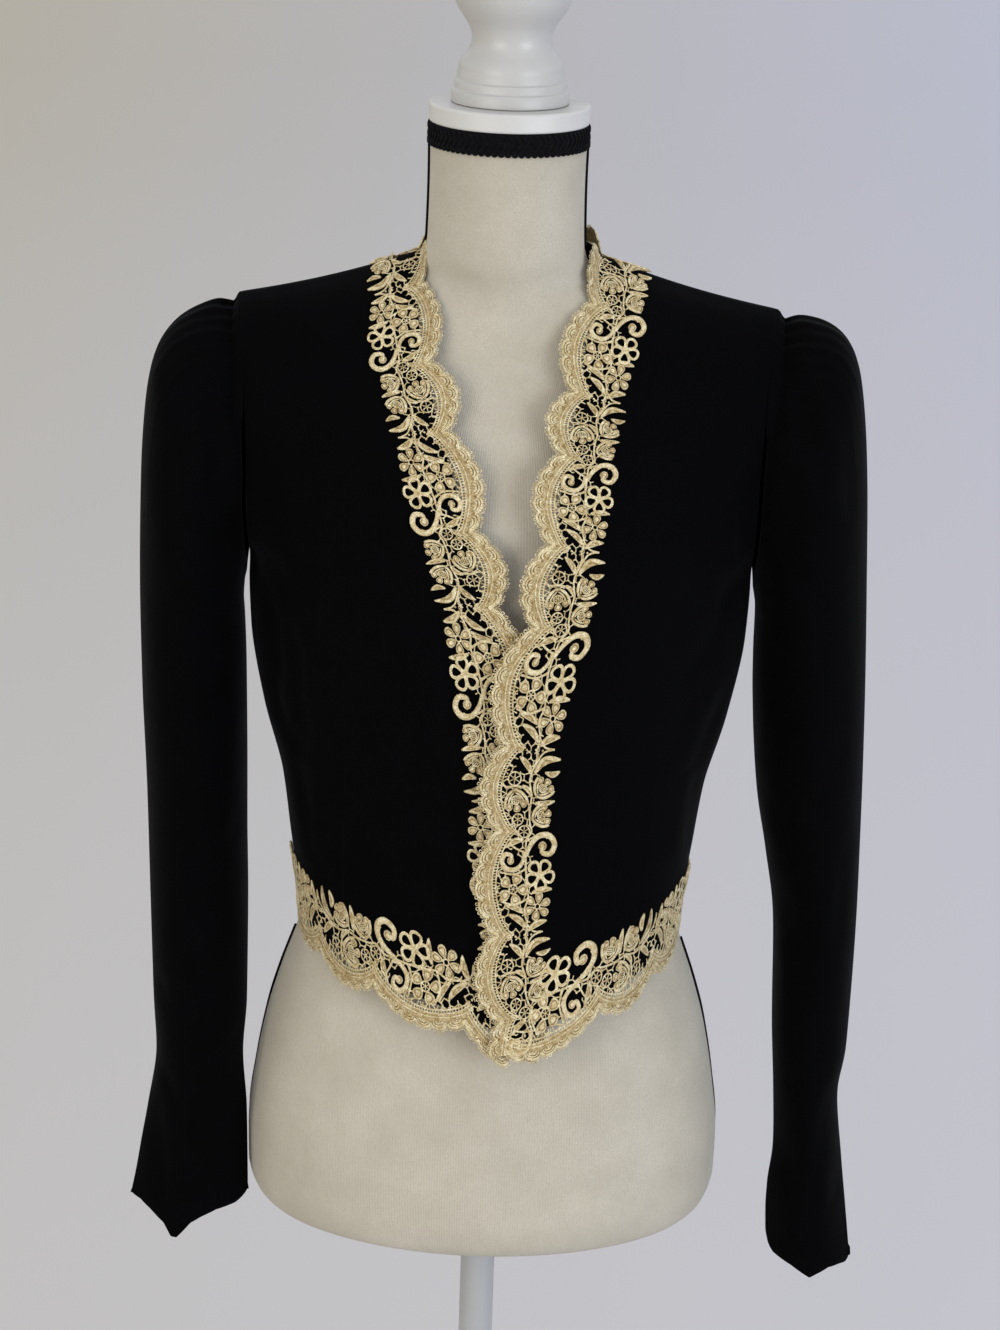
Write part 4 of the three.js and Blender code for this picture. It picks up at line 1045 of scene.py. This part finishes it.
# The motifs of one repeat: where its middle lies, how large it is for the net around it, and the motif.
MOTIFS = [
    ((30, 12.2), 9.5, blossom((30, 12.2), 20)),
    ((18, 30.5), 9.0, daisy((18, 30.5), 8)),
    ((39.5, 31.5), 9.2, ring_flower((39.5, 31.5), 30)),
    ((49, 10), 6.0, scroll(
        [(55.5, 18.5), (49.5, 19.0), (43.6, 14.5), (43.2, 7.5), (47.5, 3.4), (52.6, 5.5), (52.0, 10.2),
        (48.6, 9.6)], 1.7)),
    ((58, 32), 8.0, scroll(
        [(52, 21), (59, 23.5), (65.5, 29.5), (65.8, 37.0), (60.0, 41.3), (53.8, 38.5), (54.4, 32.4),
        (58.6, 32.6)], 2.1)),
    ((8.5, 16), 4.5, leaf((3.5, 23), (13.5, 9.5), 4.6, 1.5)),
    ((15, 14), 4.0, leaf((14, 20.5), (19.5, 6.5), 4.2, 1.4)),
    ((4.5, 31), 5.5, leaf((1.5, 24), (7.5, 38), 4.8, -1.6)),
    ((28.5, 36), 3.5, leaf((27.5, 26), (29.5, 41), 4.2, -1.0)),
    ((60, 12.5), 4.0, leaf((63, 18.5), (57.5, 6.5), 4.2, 1.2)),
    ((68, 18.6), 4.4, wheel((68, 18.6), 4.0)),
    ((88, 11), 8.0, rose((88, 11), 165, 16.5)),
    ((79, 31), 7.8, rose((79, 31), 70, 15.5)),
    ((98, 30), 7.8, rose((98, 30), 35, 15.5)),
    ((76, 13.5), 4.2, wheel((76, 13.5), 3.8)),
    ((103, 8.5), 5.0, wheel((103, 8.5), 4.6)),
    ((113, 13.5), 4.5, leaf((107, 20.5), (118, 10.5), 4.4, 1.0)),
    ((96, 17.5), 3.5, leaf((92, 22.5), (99, 14.5), 3.6, 0.8)),
    ((114, 31), 6.0, leaf((107.5, 22), (117.5, 40.5), 5.4, -4.2)),
    ((110, 36), 4.0, leaf((108.0, 30), (109.0, 41), 4.2, 1.6)),
    ((88.5, 36), 3.0, leaf((87.5, 25), (89.0, 39.5), 3.8, 0.8)),
]
VINES = [
    [(-2, 22), (6, 23.5), (16, 21), (24, 23.5), (33, 22), (44, 21), (54, 20.5), (62, 20.5), (68, 24),
    (73, 22.5)],
    [(73, 22.5), (82, 21.5), (92, 22.0), (102, 19.5), (110, 21), (117, 23), (122, 22)],
    [(62, 20.5), (66, 30), (64, 36)],
    [(110, 21), (121, 27), (124, 35)],
    [(6, 23.5), (1, 28), (0, 34)],
    [(54, 20.5), (57, 13), (60, 8.0)],
    [(92, 22), (98, 14), (97, 2)],
    [(24, 23.5), (20, 14), (22, 3.5)],
    [(44, 21), (40, 13), (41, 2)],
]
elements = []
for low, high, count in LOBES:
    for i in range(count):
        start, end = low + (high - low) * i / count, low + (high - low) * (i + 1) / count
        elements.append((((start + end) / 2, -5.0), scallop(start, end)))
for s in np.arange(2.0, REPEAT - 1, 4.6):
    line = float(eyelet_line(s))
    tie = [(s, line), (s + (0.9 if int(s) % 2 else -0.9), line + 3.0)]
    elements.append(((s, max(line, 0.1)), thread(tie, 0.38, 0.8, sides=4)))
elements += [(middle, shape) for middle, size, shape in MOTIFS]
for vine in VINES:
    line = eased(vine, 30)
    for low in range(0, 29, 6):
        part = line[low:low + 7]
        if len(part) > 1:
            elements.append((tuple(part.mean(0)), thread(part, 0.65, 0.8)))
elements += net((0, REPEAT - 4, 27), [(middle, size) for middle, size, shape in MOTIFS])


def measured(line, low, high):
    """The whole length of a line of a surface, and the place at a length along it."""
    places = np.linspace(low, high, 241)
    points = line(places)
    lengths = np.concatenate([[0], np.cumsum(np.linalg.norm(np.diff(points, axis=0), axis=1))])

    def at(s):
        before = low + s / lengths[-1] * (high - low)
        return np.where(s < 0, before, np.interp(s, lengths, places))
    return lengths[-1], at


def lay_lace(name, length, place, keep, material, wide=1.0, marks=((0, 0), (1, 1)), drop=0.0, step=2.5):
    """Lays the band on the cloth: place gives points and outward directions by lengths along and across it.

    marks are lengths of lace and the lengths of cloth where they are pinned. The lace is eased between them.
    drop is how much farther the lace hangs over the edge.
    """
    lace_marks, cloth_marks = np.array(marks, float).T

    def pinned(s):
        past = np.minimum(s - lace_marks[0], 0) + np.maximum(s - lace_marks[-1], 0)
        return np.interp(s, lace_marks, cloth_marks) + past

    s_grid = np.arange(-12, length + 12 + step, step)
    t_grid = np.arange(-17.5 - drop, 47.5 * wide + step, step)
    grid_points, grid_ways = place(*np.meshgrid(s_grid, t_grid, indexing="ij"))
    all_points, all_faces, all_relief_painted_light, total = [], [], [], 0
    first = int((lace_marks[0] - cloth_marks[0]) / REPEAT) - 2
    for repeat in range(first, first + int(length / REPEAT) + 5):
        for middle, (points, faces) in elements:
            s_middle = float(pinned(middle[0] + repeat * REPEAT))
            t_middle = middle[1] * (wide if middle[1] > 0 else 1)
            if not keep(s_middle, t_middle):
                continue
            s = pinned(points[:, 0] + repeat * REPEAT)
            t = np.where(points[:, 1] > 0, points[:, 1] * wide, points[:, 1]) - drop
            i = np.clip((s - s_grid[0]) / step, 0, len(s_grid) - 1.001)
            j = np.clip((t - t_grid[0]) / step, 0, len(t_grid) - 1.001)
            i0, j0 = i.astype(int), j.astype(int)
            fi, fj = (i - i0)[:, None], (j - j0)[:, None]
            blend = lambda grid: ((grid[i0, j0] * (1 - fi) + grid[i0 + 1, j0] * fi) * (1 - fj)
                                  + (grid[i0, j0 + 1] * (1 - fi) + grid[i0 + 1, j0 + 1] * fi) * fj)
            ways = blend(grid_ways)
            ways /= np.linalg.norm(ways, axis=1, keepdims=True)
            all_points.append(blend(grid_points) + ways * (points[:, 2] + 0.35)[:, None])
            all_faces.append(faces + total)
            all_relief_painted_light.append(points[:, 3])
            total += len(points)
    piece = new_piece(name, np.vstack(all_points), np.vstack(all_faces))
    # The painted lightness of every point is kept on the mesh as an attribute, for the gold material's
    # painted shade and highlight.
    relief_painted_light = piece.data.attributes.new("relief_painted_light", "FLOAT", "POINT")
    relief_painted_light.data.foreach_set("value", np.concatenate(all_relief_painted_light).astype(np.float32))
    bpy.ops.object.mode_set(mode="EDIT")
    bpy.ops.mesh.select_all(action="SELECT")
    bpy.ops.mesh.normals_make_consistent(inside=False)
    bpy.ops.object.mode_set(mode="OBJECT")
    bpy.ops.object.shade_smooth_by_angle(angle=math.radians(70))
    piece.data.materials.append(material)
    return piece


def along_edge(surface, low, flip, edge, start, end, stands=0):
    """A way to lay lace along a panel's edge, whose rows run over the cloth from there."""
    reach = carried_on(surface, low)

    def line(p):
        return reach(0 * p, p) if edge == "u" else reach(p, 0 * p)

    length, at = measured(line, start, end)
    step = 0.01

    def place(s, t):
        p = at(s)
        ahead = reach(0 * p + step, p) if edge == "u" else reach(p, 0 * p + step)
        speed = np.linalg.norm(ahead - line(p), axis=-1) / step
        q = t / speed
        u, v = (q, p) if edge == "u" else (p, q)
        points = reach(u, v)
        stand = stands * smooth_step(p, 0.82, 1) * np.maximum(0, -t)
        points[..., 0] += stand * 0.6
        points[..., 2] += np.abs(stand) * 0.5
        return points, outward(reach, u, v, flip)
    return length, place


def round_neck():
    """A way to lay lace round the back of the neck, whose rows fan out over the back."""
    reach = carried_on(back_surface, -1)
    length, at = measured(lambda p: back_points(p, np.ones_like(p)), -NECK_SHARE, NECK_SHARE)

    def place(s, t):
        start = at(s)
        lean = np.minimum(1, np.abs(start) / NECK_SHARE) ** 1.3 * np.pi / 2
        u, v = start.copy(), np.ones_like(start)
        left = np.maximum(0, t)
        while left.max() > 0:
            go = np.minimum(4, left)
            wide_u = np.linalg.norm(reach(u + 0.01, v) - reach(u, v), axis=-1) / 0.01
            tall_v = np.linalg.norm(reach(u, v - 0.01) - reach(u, v), axis=-1) / 0.01
            u = u + np.sign(start) * np.sin(lean) * go / wide_u
            v = v - np.cos(lean) * go / tall_v
            left = left - go
        points = reach(u, np.minimum(v, 1))
        ways = outward(reach, u, np.minimum(v, 0.996), -1)
        above = np.maximum(0, -t)[..., None]
        middle = np.stack([0 * s, 0 * s + NECK_POINT[1], points[..., 2]], -1)
        off = points - middle
        off /= np.linalg.norm(off, axis=-1, keepdims=True)
        points = points - off * above * 0.3
        points[..., 2:] += above * 0.95
        return points, np.where(above > 0, off, ways)
    return length, place


gold, tree, shader = new_material("gold lace", Metallic=0.3, Specular_IOR_Level=0.8)
group, _ = cloth_grain(tree, shader, 950, 260, (0.50, 0.35, 0.125), (1.0, 0.91, 0.62), 0.0020)
# Painted shade and painted highlight: the gold is multiplied darker where a point's painted lightness is low,
# in the grooves and on low rims, and left full on raised tops.
relief_painted_light = node(tree, "Attribute", attribute_name="relief_painted_light").outputs["Fac"]
shade = ramp(tree, relief_painted_light, [(0.0, (0.14, 0.10, 0.05)), (0.3, (0.58, 0.50, 0.36)), (0.6, (1.0, 1.0, 1.0))])
gold_with_painted_shade = node(
    tree, "MixRGB", {"Fac": 1.0, "Color1": group.outputs["Color"], "Color2": shade}, blend_type="MULTIPLY")
tree.links.new(gold_with_painted_shade.outputs["Color"], shader.inputs["Base Color"])
glint = node(tree, "MapRange", {
    "Value": group.outputs["Roughness"], "From Min": 0.78, "From Max": 0.98, "To Min": 0.26, "To Max": 0.50})
tree.links.new(glint.outputs["Result"], shader.inputs["Roughness"])

# The band runs on in one direction, down the right edge and up the left one. It is pinned at the notches
# between its lobes: lengths of lace, and lengths of the edge from the shoulder or from the hem.
PINS = {
    "right": [(0, 37), (68, 96), (124, 143), (192, 208), (248, 256), (316, 330), (372, 388), (440, 458)],
    "left": [
        (-180, 28), (-124, 87), (-56, 160), (0, 219), (68, 301), (124, 352), (192, 409), (248, 451),
        (316, 516),
    ],
}
LACE_PARTS = []
for side, name in [(-1, "right"), (1, "left")]:
    ends = (1.0, -0.022) if side < 0 else (-0.022, 1.0)
    length, place = along_edge(front_surface(side), 0, side, "u", *ends, side)

    def keep(s, t):
        above_hem = length - s if side < 0 else s
        return max(t * 0.75, 0) + 1 < above_hem < length - 1

    piece = lay_lace(f"lace_band_front_{name}", length, place, keep, gold, 0.86, PINS[name])
    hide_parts(f"lace_front_{name}")
    LACE_PARTS.append(piece)
    length, place = along_edge(front_surface(side), 0, side, "v", 0.0, 1.0)

    def keep_hem(s, t):
        return max(t, 0) * 0.9 + 2 < s < length - 0.5

    start = 40 if side < 0 else 0
    piece = lay_lace(
        f"lace_band_hem_{name}", length, place, keep_hem, gold, 1.16, ((0, start), (1, start + 1)), 5)
    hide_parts(f"lace_hem_{name}")
    LACE_PARTS.append(piece)
length, place = along_edge(back_surface, -1, -1, "v", -1.0, 1.0)
piece = lay_lace("lace_band_hem_back", length, place, lambda s, t: 0.5 < s < length - 0.5, gold, 1.16, drop=5)
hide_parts("lace_hem_back")
LACE_PARTS.append(piece)
length, place = round_neck()
piece = lay_lace("lace_band_neck", length, place, lambda s, t: 0.5 < s < length - 0.5, gold, 0.84)
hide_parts("lace_neck_back")
LACE_PARTS.append(piece)
for piece in LACE_PARTS:
    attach(piece, "root")


# ---------------------------------------------------------------------------------------------------
# Dress form. A limbless foam torso under a tight cover of cream jersey, knitted in fine ribs that run
# up and down, with a narrow neck. The jacket hangs on its shoulders.
# ---------------------------------------------------------------------------------------------------
# The columns: height, half the width, depth to the front and to the back, and how square the oval is.
FORM_ROWS = np.array([
    (472, 132, 84, 86, 2), (476, 149, 96, 98, 2), (485, 157, 102, 104, 2), (502, 161.5, 106, 108, 2),
    (530, 161.8, 108, 110, 2), (570, 157, 108, 110, 2), (610, 149.5, 107, 107, 2),
    (645, 139.5, 104, 101, 2), (680, 127.5, 99, 92, 2), (715, 117.5, 92, 82, 2), (760, 113, 87, 74, 2),
    (810, 119, 89, 75, 2), (870, 132, 104, 85, 2), (930, 143, 119, 95, 2), (985, 151, 113, 99, 2),
    (1030, 156, 93, 94, 2), (1060, 160, 74, 85, 1.9), (1082, 160, 60, 75, 1.7), (1098, 153, 54, 68, 1.5),
    (1110, 128, 50, 60, 1.3), (1118, 92, 48.5, 54, 1.25), (1126, 59, 48, 51, 1.5),
    (1135, 52, 49.5, 50, 1.9), (1145, 49.6, 49.2, 49.2, 2), (1185, 48.8, 48.8, 48.8, 2),
    (1220, 49.3, 49.3, 49.3, 2),
])
AROUND_FORM = 112


def form_lean(z):
    return -3.4 * smooth_step(z, 850, 1180)


cloth_trees = []
for piece in JACKET.values():
    cloth_trees.append(BVHTree.FromPolygons(
        [vertex.co for vertex in piece.data.vertices], [face.vertices for face in piece.data.polygons]))


def room_at(angle, z):
    """How far the form may reach in one direction before it comes too near the cloth."""
    start = Vector((form_lean(z), 0, z)) * 0.001
    way = Vector((math.sin(angle), -math.cos(angle), 0))
    hits = [tree.ray_cast(start, way)[3] for tree in cloth_trees]
    return min([hit * 1000 - 1.0 for hit in hits if hit is not None], default=1e3)


angles = 2 * np.pi * np.arange(AROUND_FORM) / AROUND_FORM
rings = []
for z, half, front, back, square in FORM_ROWS:
    depth = np.where(np.cos(angles) > 0, front, back)
    oval = np.abs(np.sin(angles) / half) ** square + np.abs(np.cos(angles) / depth) ** square
    folded = np.minimum(np.degrees(angles), 360 - np.degrees(angles))
    reach = oval ** (-1 / square) + 11 * bell(folded - 36, 17) * bell(z - 935, 45)
    limit = np.min([[room_at(angle, z + rise) for angle in angles] for rise in (-1.5, 0, 2)], axis=0)
    limit = np.min([np.roll(limit, shift) for shift in (-2, -1, 0, 1, 2)], axis=0)
    rings.append([z, *np.minimum(reach, limit)])
rings = np.array(rings)
heights = np.unique(np.concatenate([np.linspace(472, 512, 16), np.linspace(512, 1220, 110)]))
radii = row_values(rings, heights)[1:]
COVER_SMOOTHINGS = 2
for smoothing in range(COVER_SMOOTHINGS):
    radii = (np.roll(radii, 1, 0) + 2 * radii + np.roll(radii, -1, 0)) / 4
points = np.stack([
    radii * np.sin(angles)[:, None] + form_lean(heights), -radii * np.cos(angles)[:, None],
    np.broadcast_to(heights, radii.shape)], -1)
form = grid_piece("form_cover", points, True)
closed_and_smooth(form, 60)
form_heights = heights

jersey, tree, shader = new_material(
    "cream jersey", Sheen_Weight=0.15, Sheen_Roughness=0.5, Specular_IOR_Level=0.2)
group, raised = cloth_grain(tree, shader, 900, 22, (0.37, 0.335, 0.265), (0.46, 0.42, 0.345), 0.0003)
spot = node(tree, "TexCoord").outputs["Object"]
axes = node(tree, "SeparateXYZ", {"Vector": spot})
round_form = node(tree, "Math", {0: axes.outputs["X"], 1: axes.outputs["Y"]}, operation="ARCTAN2")
ribs = node(tree, "Math", {0: round_form.outputs[0], 1: 400.0}, operation="MULTIPLY")
wave = node(tree, "Math", {0: ribs.outputs[0]}, operation="SINE")
both = node(tree, "Math", {0: wave.outputs[0], 1: 0.22, 2: group.outputs["Height"]}, operation="MULTIPLY_ADD")
tree.links.new(both.outputs[0], raised.inputs["Height"])
form.data.materials.append(jersey)
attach(form, "root")
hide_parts("form_torso")


# ---------------------------------------------------------------------------------------------------
# Braid and cords. Black gimp braid is stitched round the top of the neck, worked in herringbone with
# small loops along its foot, and a thin black cord is sewn down each side seam of the cover.
# ---------------------------------------------------------------------------------------------------
NECK_AT = (-3.4, 0.0)
neck_radius = 50.1
BRAID_LOOPS = 76
parts = []
for i in range(BRAID_LOOPS):
    middle = 2 * math.pi * i / BRAID_LOOPS * neck_radius
    for low, high in ((1209.8, 1214.8), (1219.8, 1215.0)):
        line = [(middle + 3.4 * share, low + (high - low) * share) for share in (0, 0.25, 0.5, 0.75, 1)]
        parts.append(thread(line, np.array([0.8, 1.05, 1.1, 1.05, 0.8]), 0.8, sides=6))
    turns = np.linspace(0, 2 * math.pi, 11)[:-1]
    loop = [(middle + 1.2 * math.cos(turn), 1208.2 + 1.4 * math.sin(turn)) for turn in turns]
    parts.append(thread(loop, 1.1, 0.8, True, sides=6))
round_line = np.linspace(0, 2 * math.pi * 0.9999, 121) * neck_radius
for height in (1210.4, 1212.6, 1214.8, 1217.0, 1219.0):
    parts.append(thread([(s, height) for s in round_line], 1.9, 0.2, sides=6))
points, faces = joined(parts)
angle = points[:, 0] / neck_radius
radius = neck_radius - 0.6 + points[:, 2]
wrapped = np.column_stack(
    [NECK_AT[0] + radius * np.sin(angle), NECK_AT[1] - radius * np.cos(angle), points[:, 1]])
braid = new_piece("neck_gimp", wrapped, faces)
closed_and_smooth(braid, 70)
black_cord, tree, shader = new_material(
    "black cord", Sheen_Weight=0.02, Sheen_Roughness=0.4, Specular_IOR_Level=0.06)
cloth_grain(tree, shader, 1400, 300, (0.0012, 0.0012, 0.0016), (0.006, 0.006, 0.0075), 0.0003)
braid.data.materials.append(black_cord)
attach(braid, "root")
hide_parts("form_neck_braid")

for name in ("form_hip_cord_right", "form_hip_cord_left", "form_neck_cord_right", "form_neck_cord_left"):
    low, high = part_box(name)
    side = 1 if name.endswith("left") else -1
    heights = np.linspace(low.z, high.z, 60 if "hip" in name else 24)
    turns = math.pi / 2 + 0.07 * (1 - smooth_step(heights, 0.60, 0.67)) * ("hip" in name)
    reaches = np.array([
        np.interp(turn, angles, [np.interp(height * 1000, form_heights, ring) for ring in radii])
        for turn, height in zip(turns, heights)]) + 0.7
    across = side * reaches * np.sin(turns) + form_lean(heights * 1000)
    places = np.column_stack([across, -reaches * np.cos(turns), heights * 1000]) * 0.001
    bpy.ops.curve.primitive_bezier_curve_add()
    cord = bpy.context.object
    cord.name = name.replace("form_", "seam_")
    curve = cord.data
    curve.splines.clear()
    spline = curve.splines.new("POLY")
    spline.points.add(len(heights) - 1)
    for point, place in zip(spline.points, places):
        point.co = (*(Vector(place) - cord.location), 1)
    curve.bevel_depth = 0.0009
    curve.bevel_resolution = 2
    curve.use_fill_caps = True
    bpy.ops.object.convert(target="MESH")
    bpy.ops.object.transform_apply(location=True, rotation=True, scale=True)
    bpy.ops.object.shade_smooth()
    cord.data.materials.append(black_cord)
    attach(cord, "root")
    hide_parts(name)


# ---------------------------------------------------------------------------------------------------
# Neck cap and finial. A turned wooden disc closes the neck, and a turned wooden finial is screwed to
# it, both painted satin white.
# ---------------------------------------------------------------------------------------------------
wear = bpy.data.node_groups.new("paint wear", "ShaderNodeTree")
for name, kind, way in [
    ("Paint", "NodeSocketColor", "INPUT"), ("Scale", "NodeSocketFloat", "INPUT"),
    ("Color", "NodeSocketColor", "OUTPUT"), ("Roughness", "NodeSocketFloat", "OUTPUT"),
    ("Height", "NodeSocketFloat", "OUTPUT"),
]:
    wear.interface.new_socket(name=name, in_out=way, socket_type=kind)
given = wear.nodes.new("NodeGroupInput")
result = wear.nodes.new("NodeGroupOutput")
spot = node(wear, "TexCoord").outputs["Object"]
dust = node(
    wear, "TexNoise", {"Vector": spot, "Scale": given.outputs["Scale"], "Detail": 6.0, "Roughness": 0.65})
brush = node(wear, "TexNoise", {"Vector": spot, "Scale": 420.0, "Detail": 2.0})
tone = node(wear, "MapRange", {
    "Value": dust.outputs["Fac"], "From Min": 0.35, "From Max": 0.75, "To Min": 1.0, "To Max": 0.90})
colour = node(
    wear, "VectorMath", {0: given.outputs["Paint"], "Scale": tone.outputs["Result"]}, operation="SCALE")
rough = node(wear, "MapRange", {
    "Value": dust.outputs["Fac"], "From Min": 0.3, "From Max": 0.7, "To Min": 0.32, "To Max": 0.5})
wear.links.new(colour.outputs["Vector"], result.inputs["Color"])
wear.links.new(rough.outputs["Result"], result.inputs["Roughness"])
wear.links.new(brush.outputs["Fac"], result.inputs["Height"])


def paint(name, colour, scale, bump):
    material, tree, shader = new_material(name, Specular_IOR_Level=0.45)
    group = node(tree, "Group", node_tree=wear)
    group.inputs["Paint"].default_value = (*colour, 1)
    group.inputs["Scale"].default_value = scale
    raised = node(tree, "Bump", {"Height": group.outputs["Height"], "Strength": 1.0, "Distance": bump})
    tree.links.new(group.outputs["Color"], shader.inputs["Base Color"])
    tree.links.new(group.outputs["Roughness"], shader.inputs["Roughness"])
    tree.links.new(raised.outputs["Normal"], shader.inputs["Normal"])
    return material


white_wood = paint("white painted wood", (0.50, 0.49, 0.465), 24, 0.00006)
# Painted shade: the finial's white is the neck disc's paint made darker, standing in for the shadow and warm
# reflection that fall on it.
turned_wood_painted_shade = paint("white painted turned wood, painted shade", (0.41, 0.40, 0.38), 24, 0.00006)
white_steel = paint("white painted steel", (0.35, 0.355, 0.355), 14, 0.00003)


def white_piece(name, profile, node_name, material, around=72, place=(0, 0), bevel=0.0):
    """A turned piece that stands for its CAD node."""
    piece = turned(name, profile, around, place)
    closed_and_smooth(piece, 50)
    if bevel:
        rounding = piece.modifiers.new("rounding", "BEVEL")
        rounding.width = bevel
        rounding.segments = 3
        rounding.limit_method = "ANGLE"
        rounding.angle_limit = math.radians(50)
        bpy.ops.object.modifier_apply(modifier="rounding")
        bpy.ops.object.shade_smooth_by_angle(angle=math.radians(50))
    piece.data.materials.append(material)
    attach(piece, "root")
    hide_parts(node_name)
    return piece


neck_at = (NECK_AT[0] * 0.001, NECK_AT[1] * 0.001)
white_piece("neck_disc", [(50.4, 1220.3), (50.4, 1232.5)], "neck_cap", white_wood, 96, neck_at, 0.0016)
FINIAL = [
    (37, 0), (37, 7.4), (36.4, 8.3), (35.5, 8.6), (35.3, 9.2), (35.3, 13.2), (34.8, 14.0), (33.8, 14.3),
    (33.6, 14.9), (33.6, 18.6), (33.1, 19.4), (33.0, 21.4), (32.4, 24), (31.0, 26.7), (28.8, 29.4),
    (26.8, 32.2), (25.4, 35.4), (24.9, 38.8), (25.2, 42.2), (26.4, 46), (28.5, 49.6), (31.0, 53.2),
    (33.6, 57), (35.8, 61.4), (37.2, 66.4), (37.4, 71.5), (36.5, 78), (34.2, 84.5), (30.4, 90),
    (25.2, 94.2), (18.8, 97.5), (11.7, 99.6), (5.0, 100.7), (1.2, 101),
]
white_piece(
    "turned_finial", [(radius, height + 1232.8) for radius, height in FINIAL],
    "finial", turned_wood_painted_shade, 96, neck_at, 0.0006)


# ---------------------------------------------------------------------------------------------------
# Stand. A steel tube carries the form. It is held by a collar on a round steel base, and all of it is
# painted white.
# ---------------------------------------------------------------------------------------------------
white_piece("stand_tube", [(11.8, 14.3), (11.8, 471.7)], "pole", white_steel, 48, (0, 0), 0.0006)
white_piece("stand_collar", [
    (12.1, 14.3), (24, 14.3), (24, 40), (23.2, 43.2), (21.2, 46.2), (18.5, 48.3), (12.1, 48.3), (12.1, 14.35),
], "pole_collar", white_steel, 64, (0, 0), 0.0006)
white_piece("stand_base", [
    (175, 0), (175, 9.0), (174.2, 11.2), (172.4, 13.0), (169.8, 14.0),
], "base", white_steel, 128, (0, 0), 0.0006)
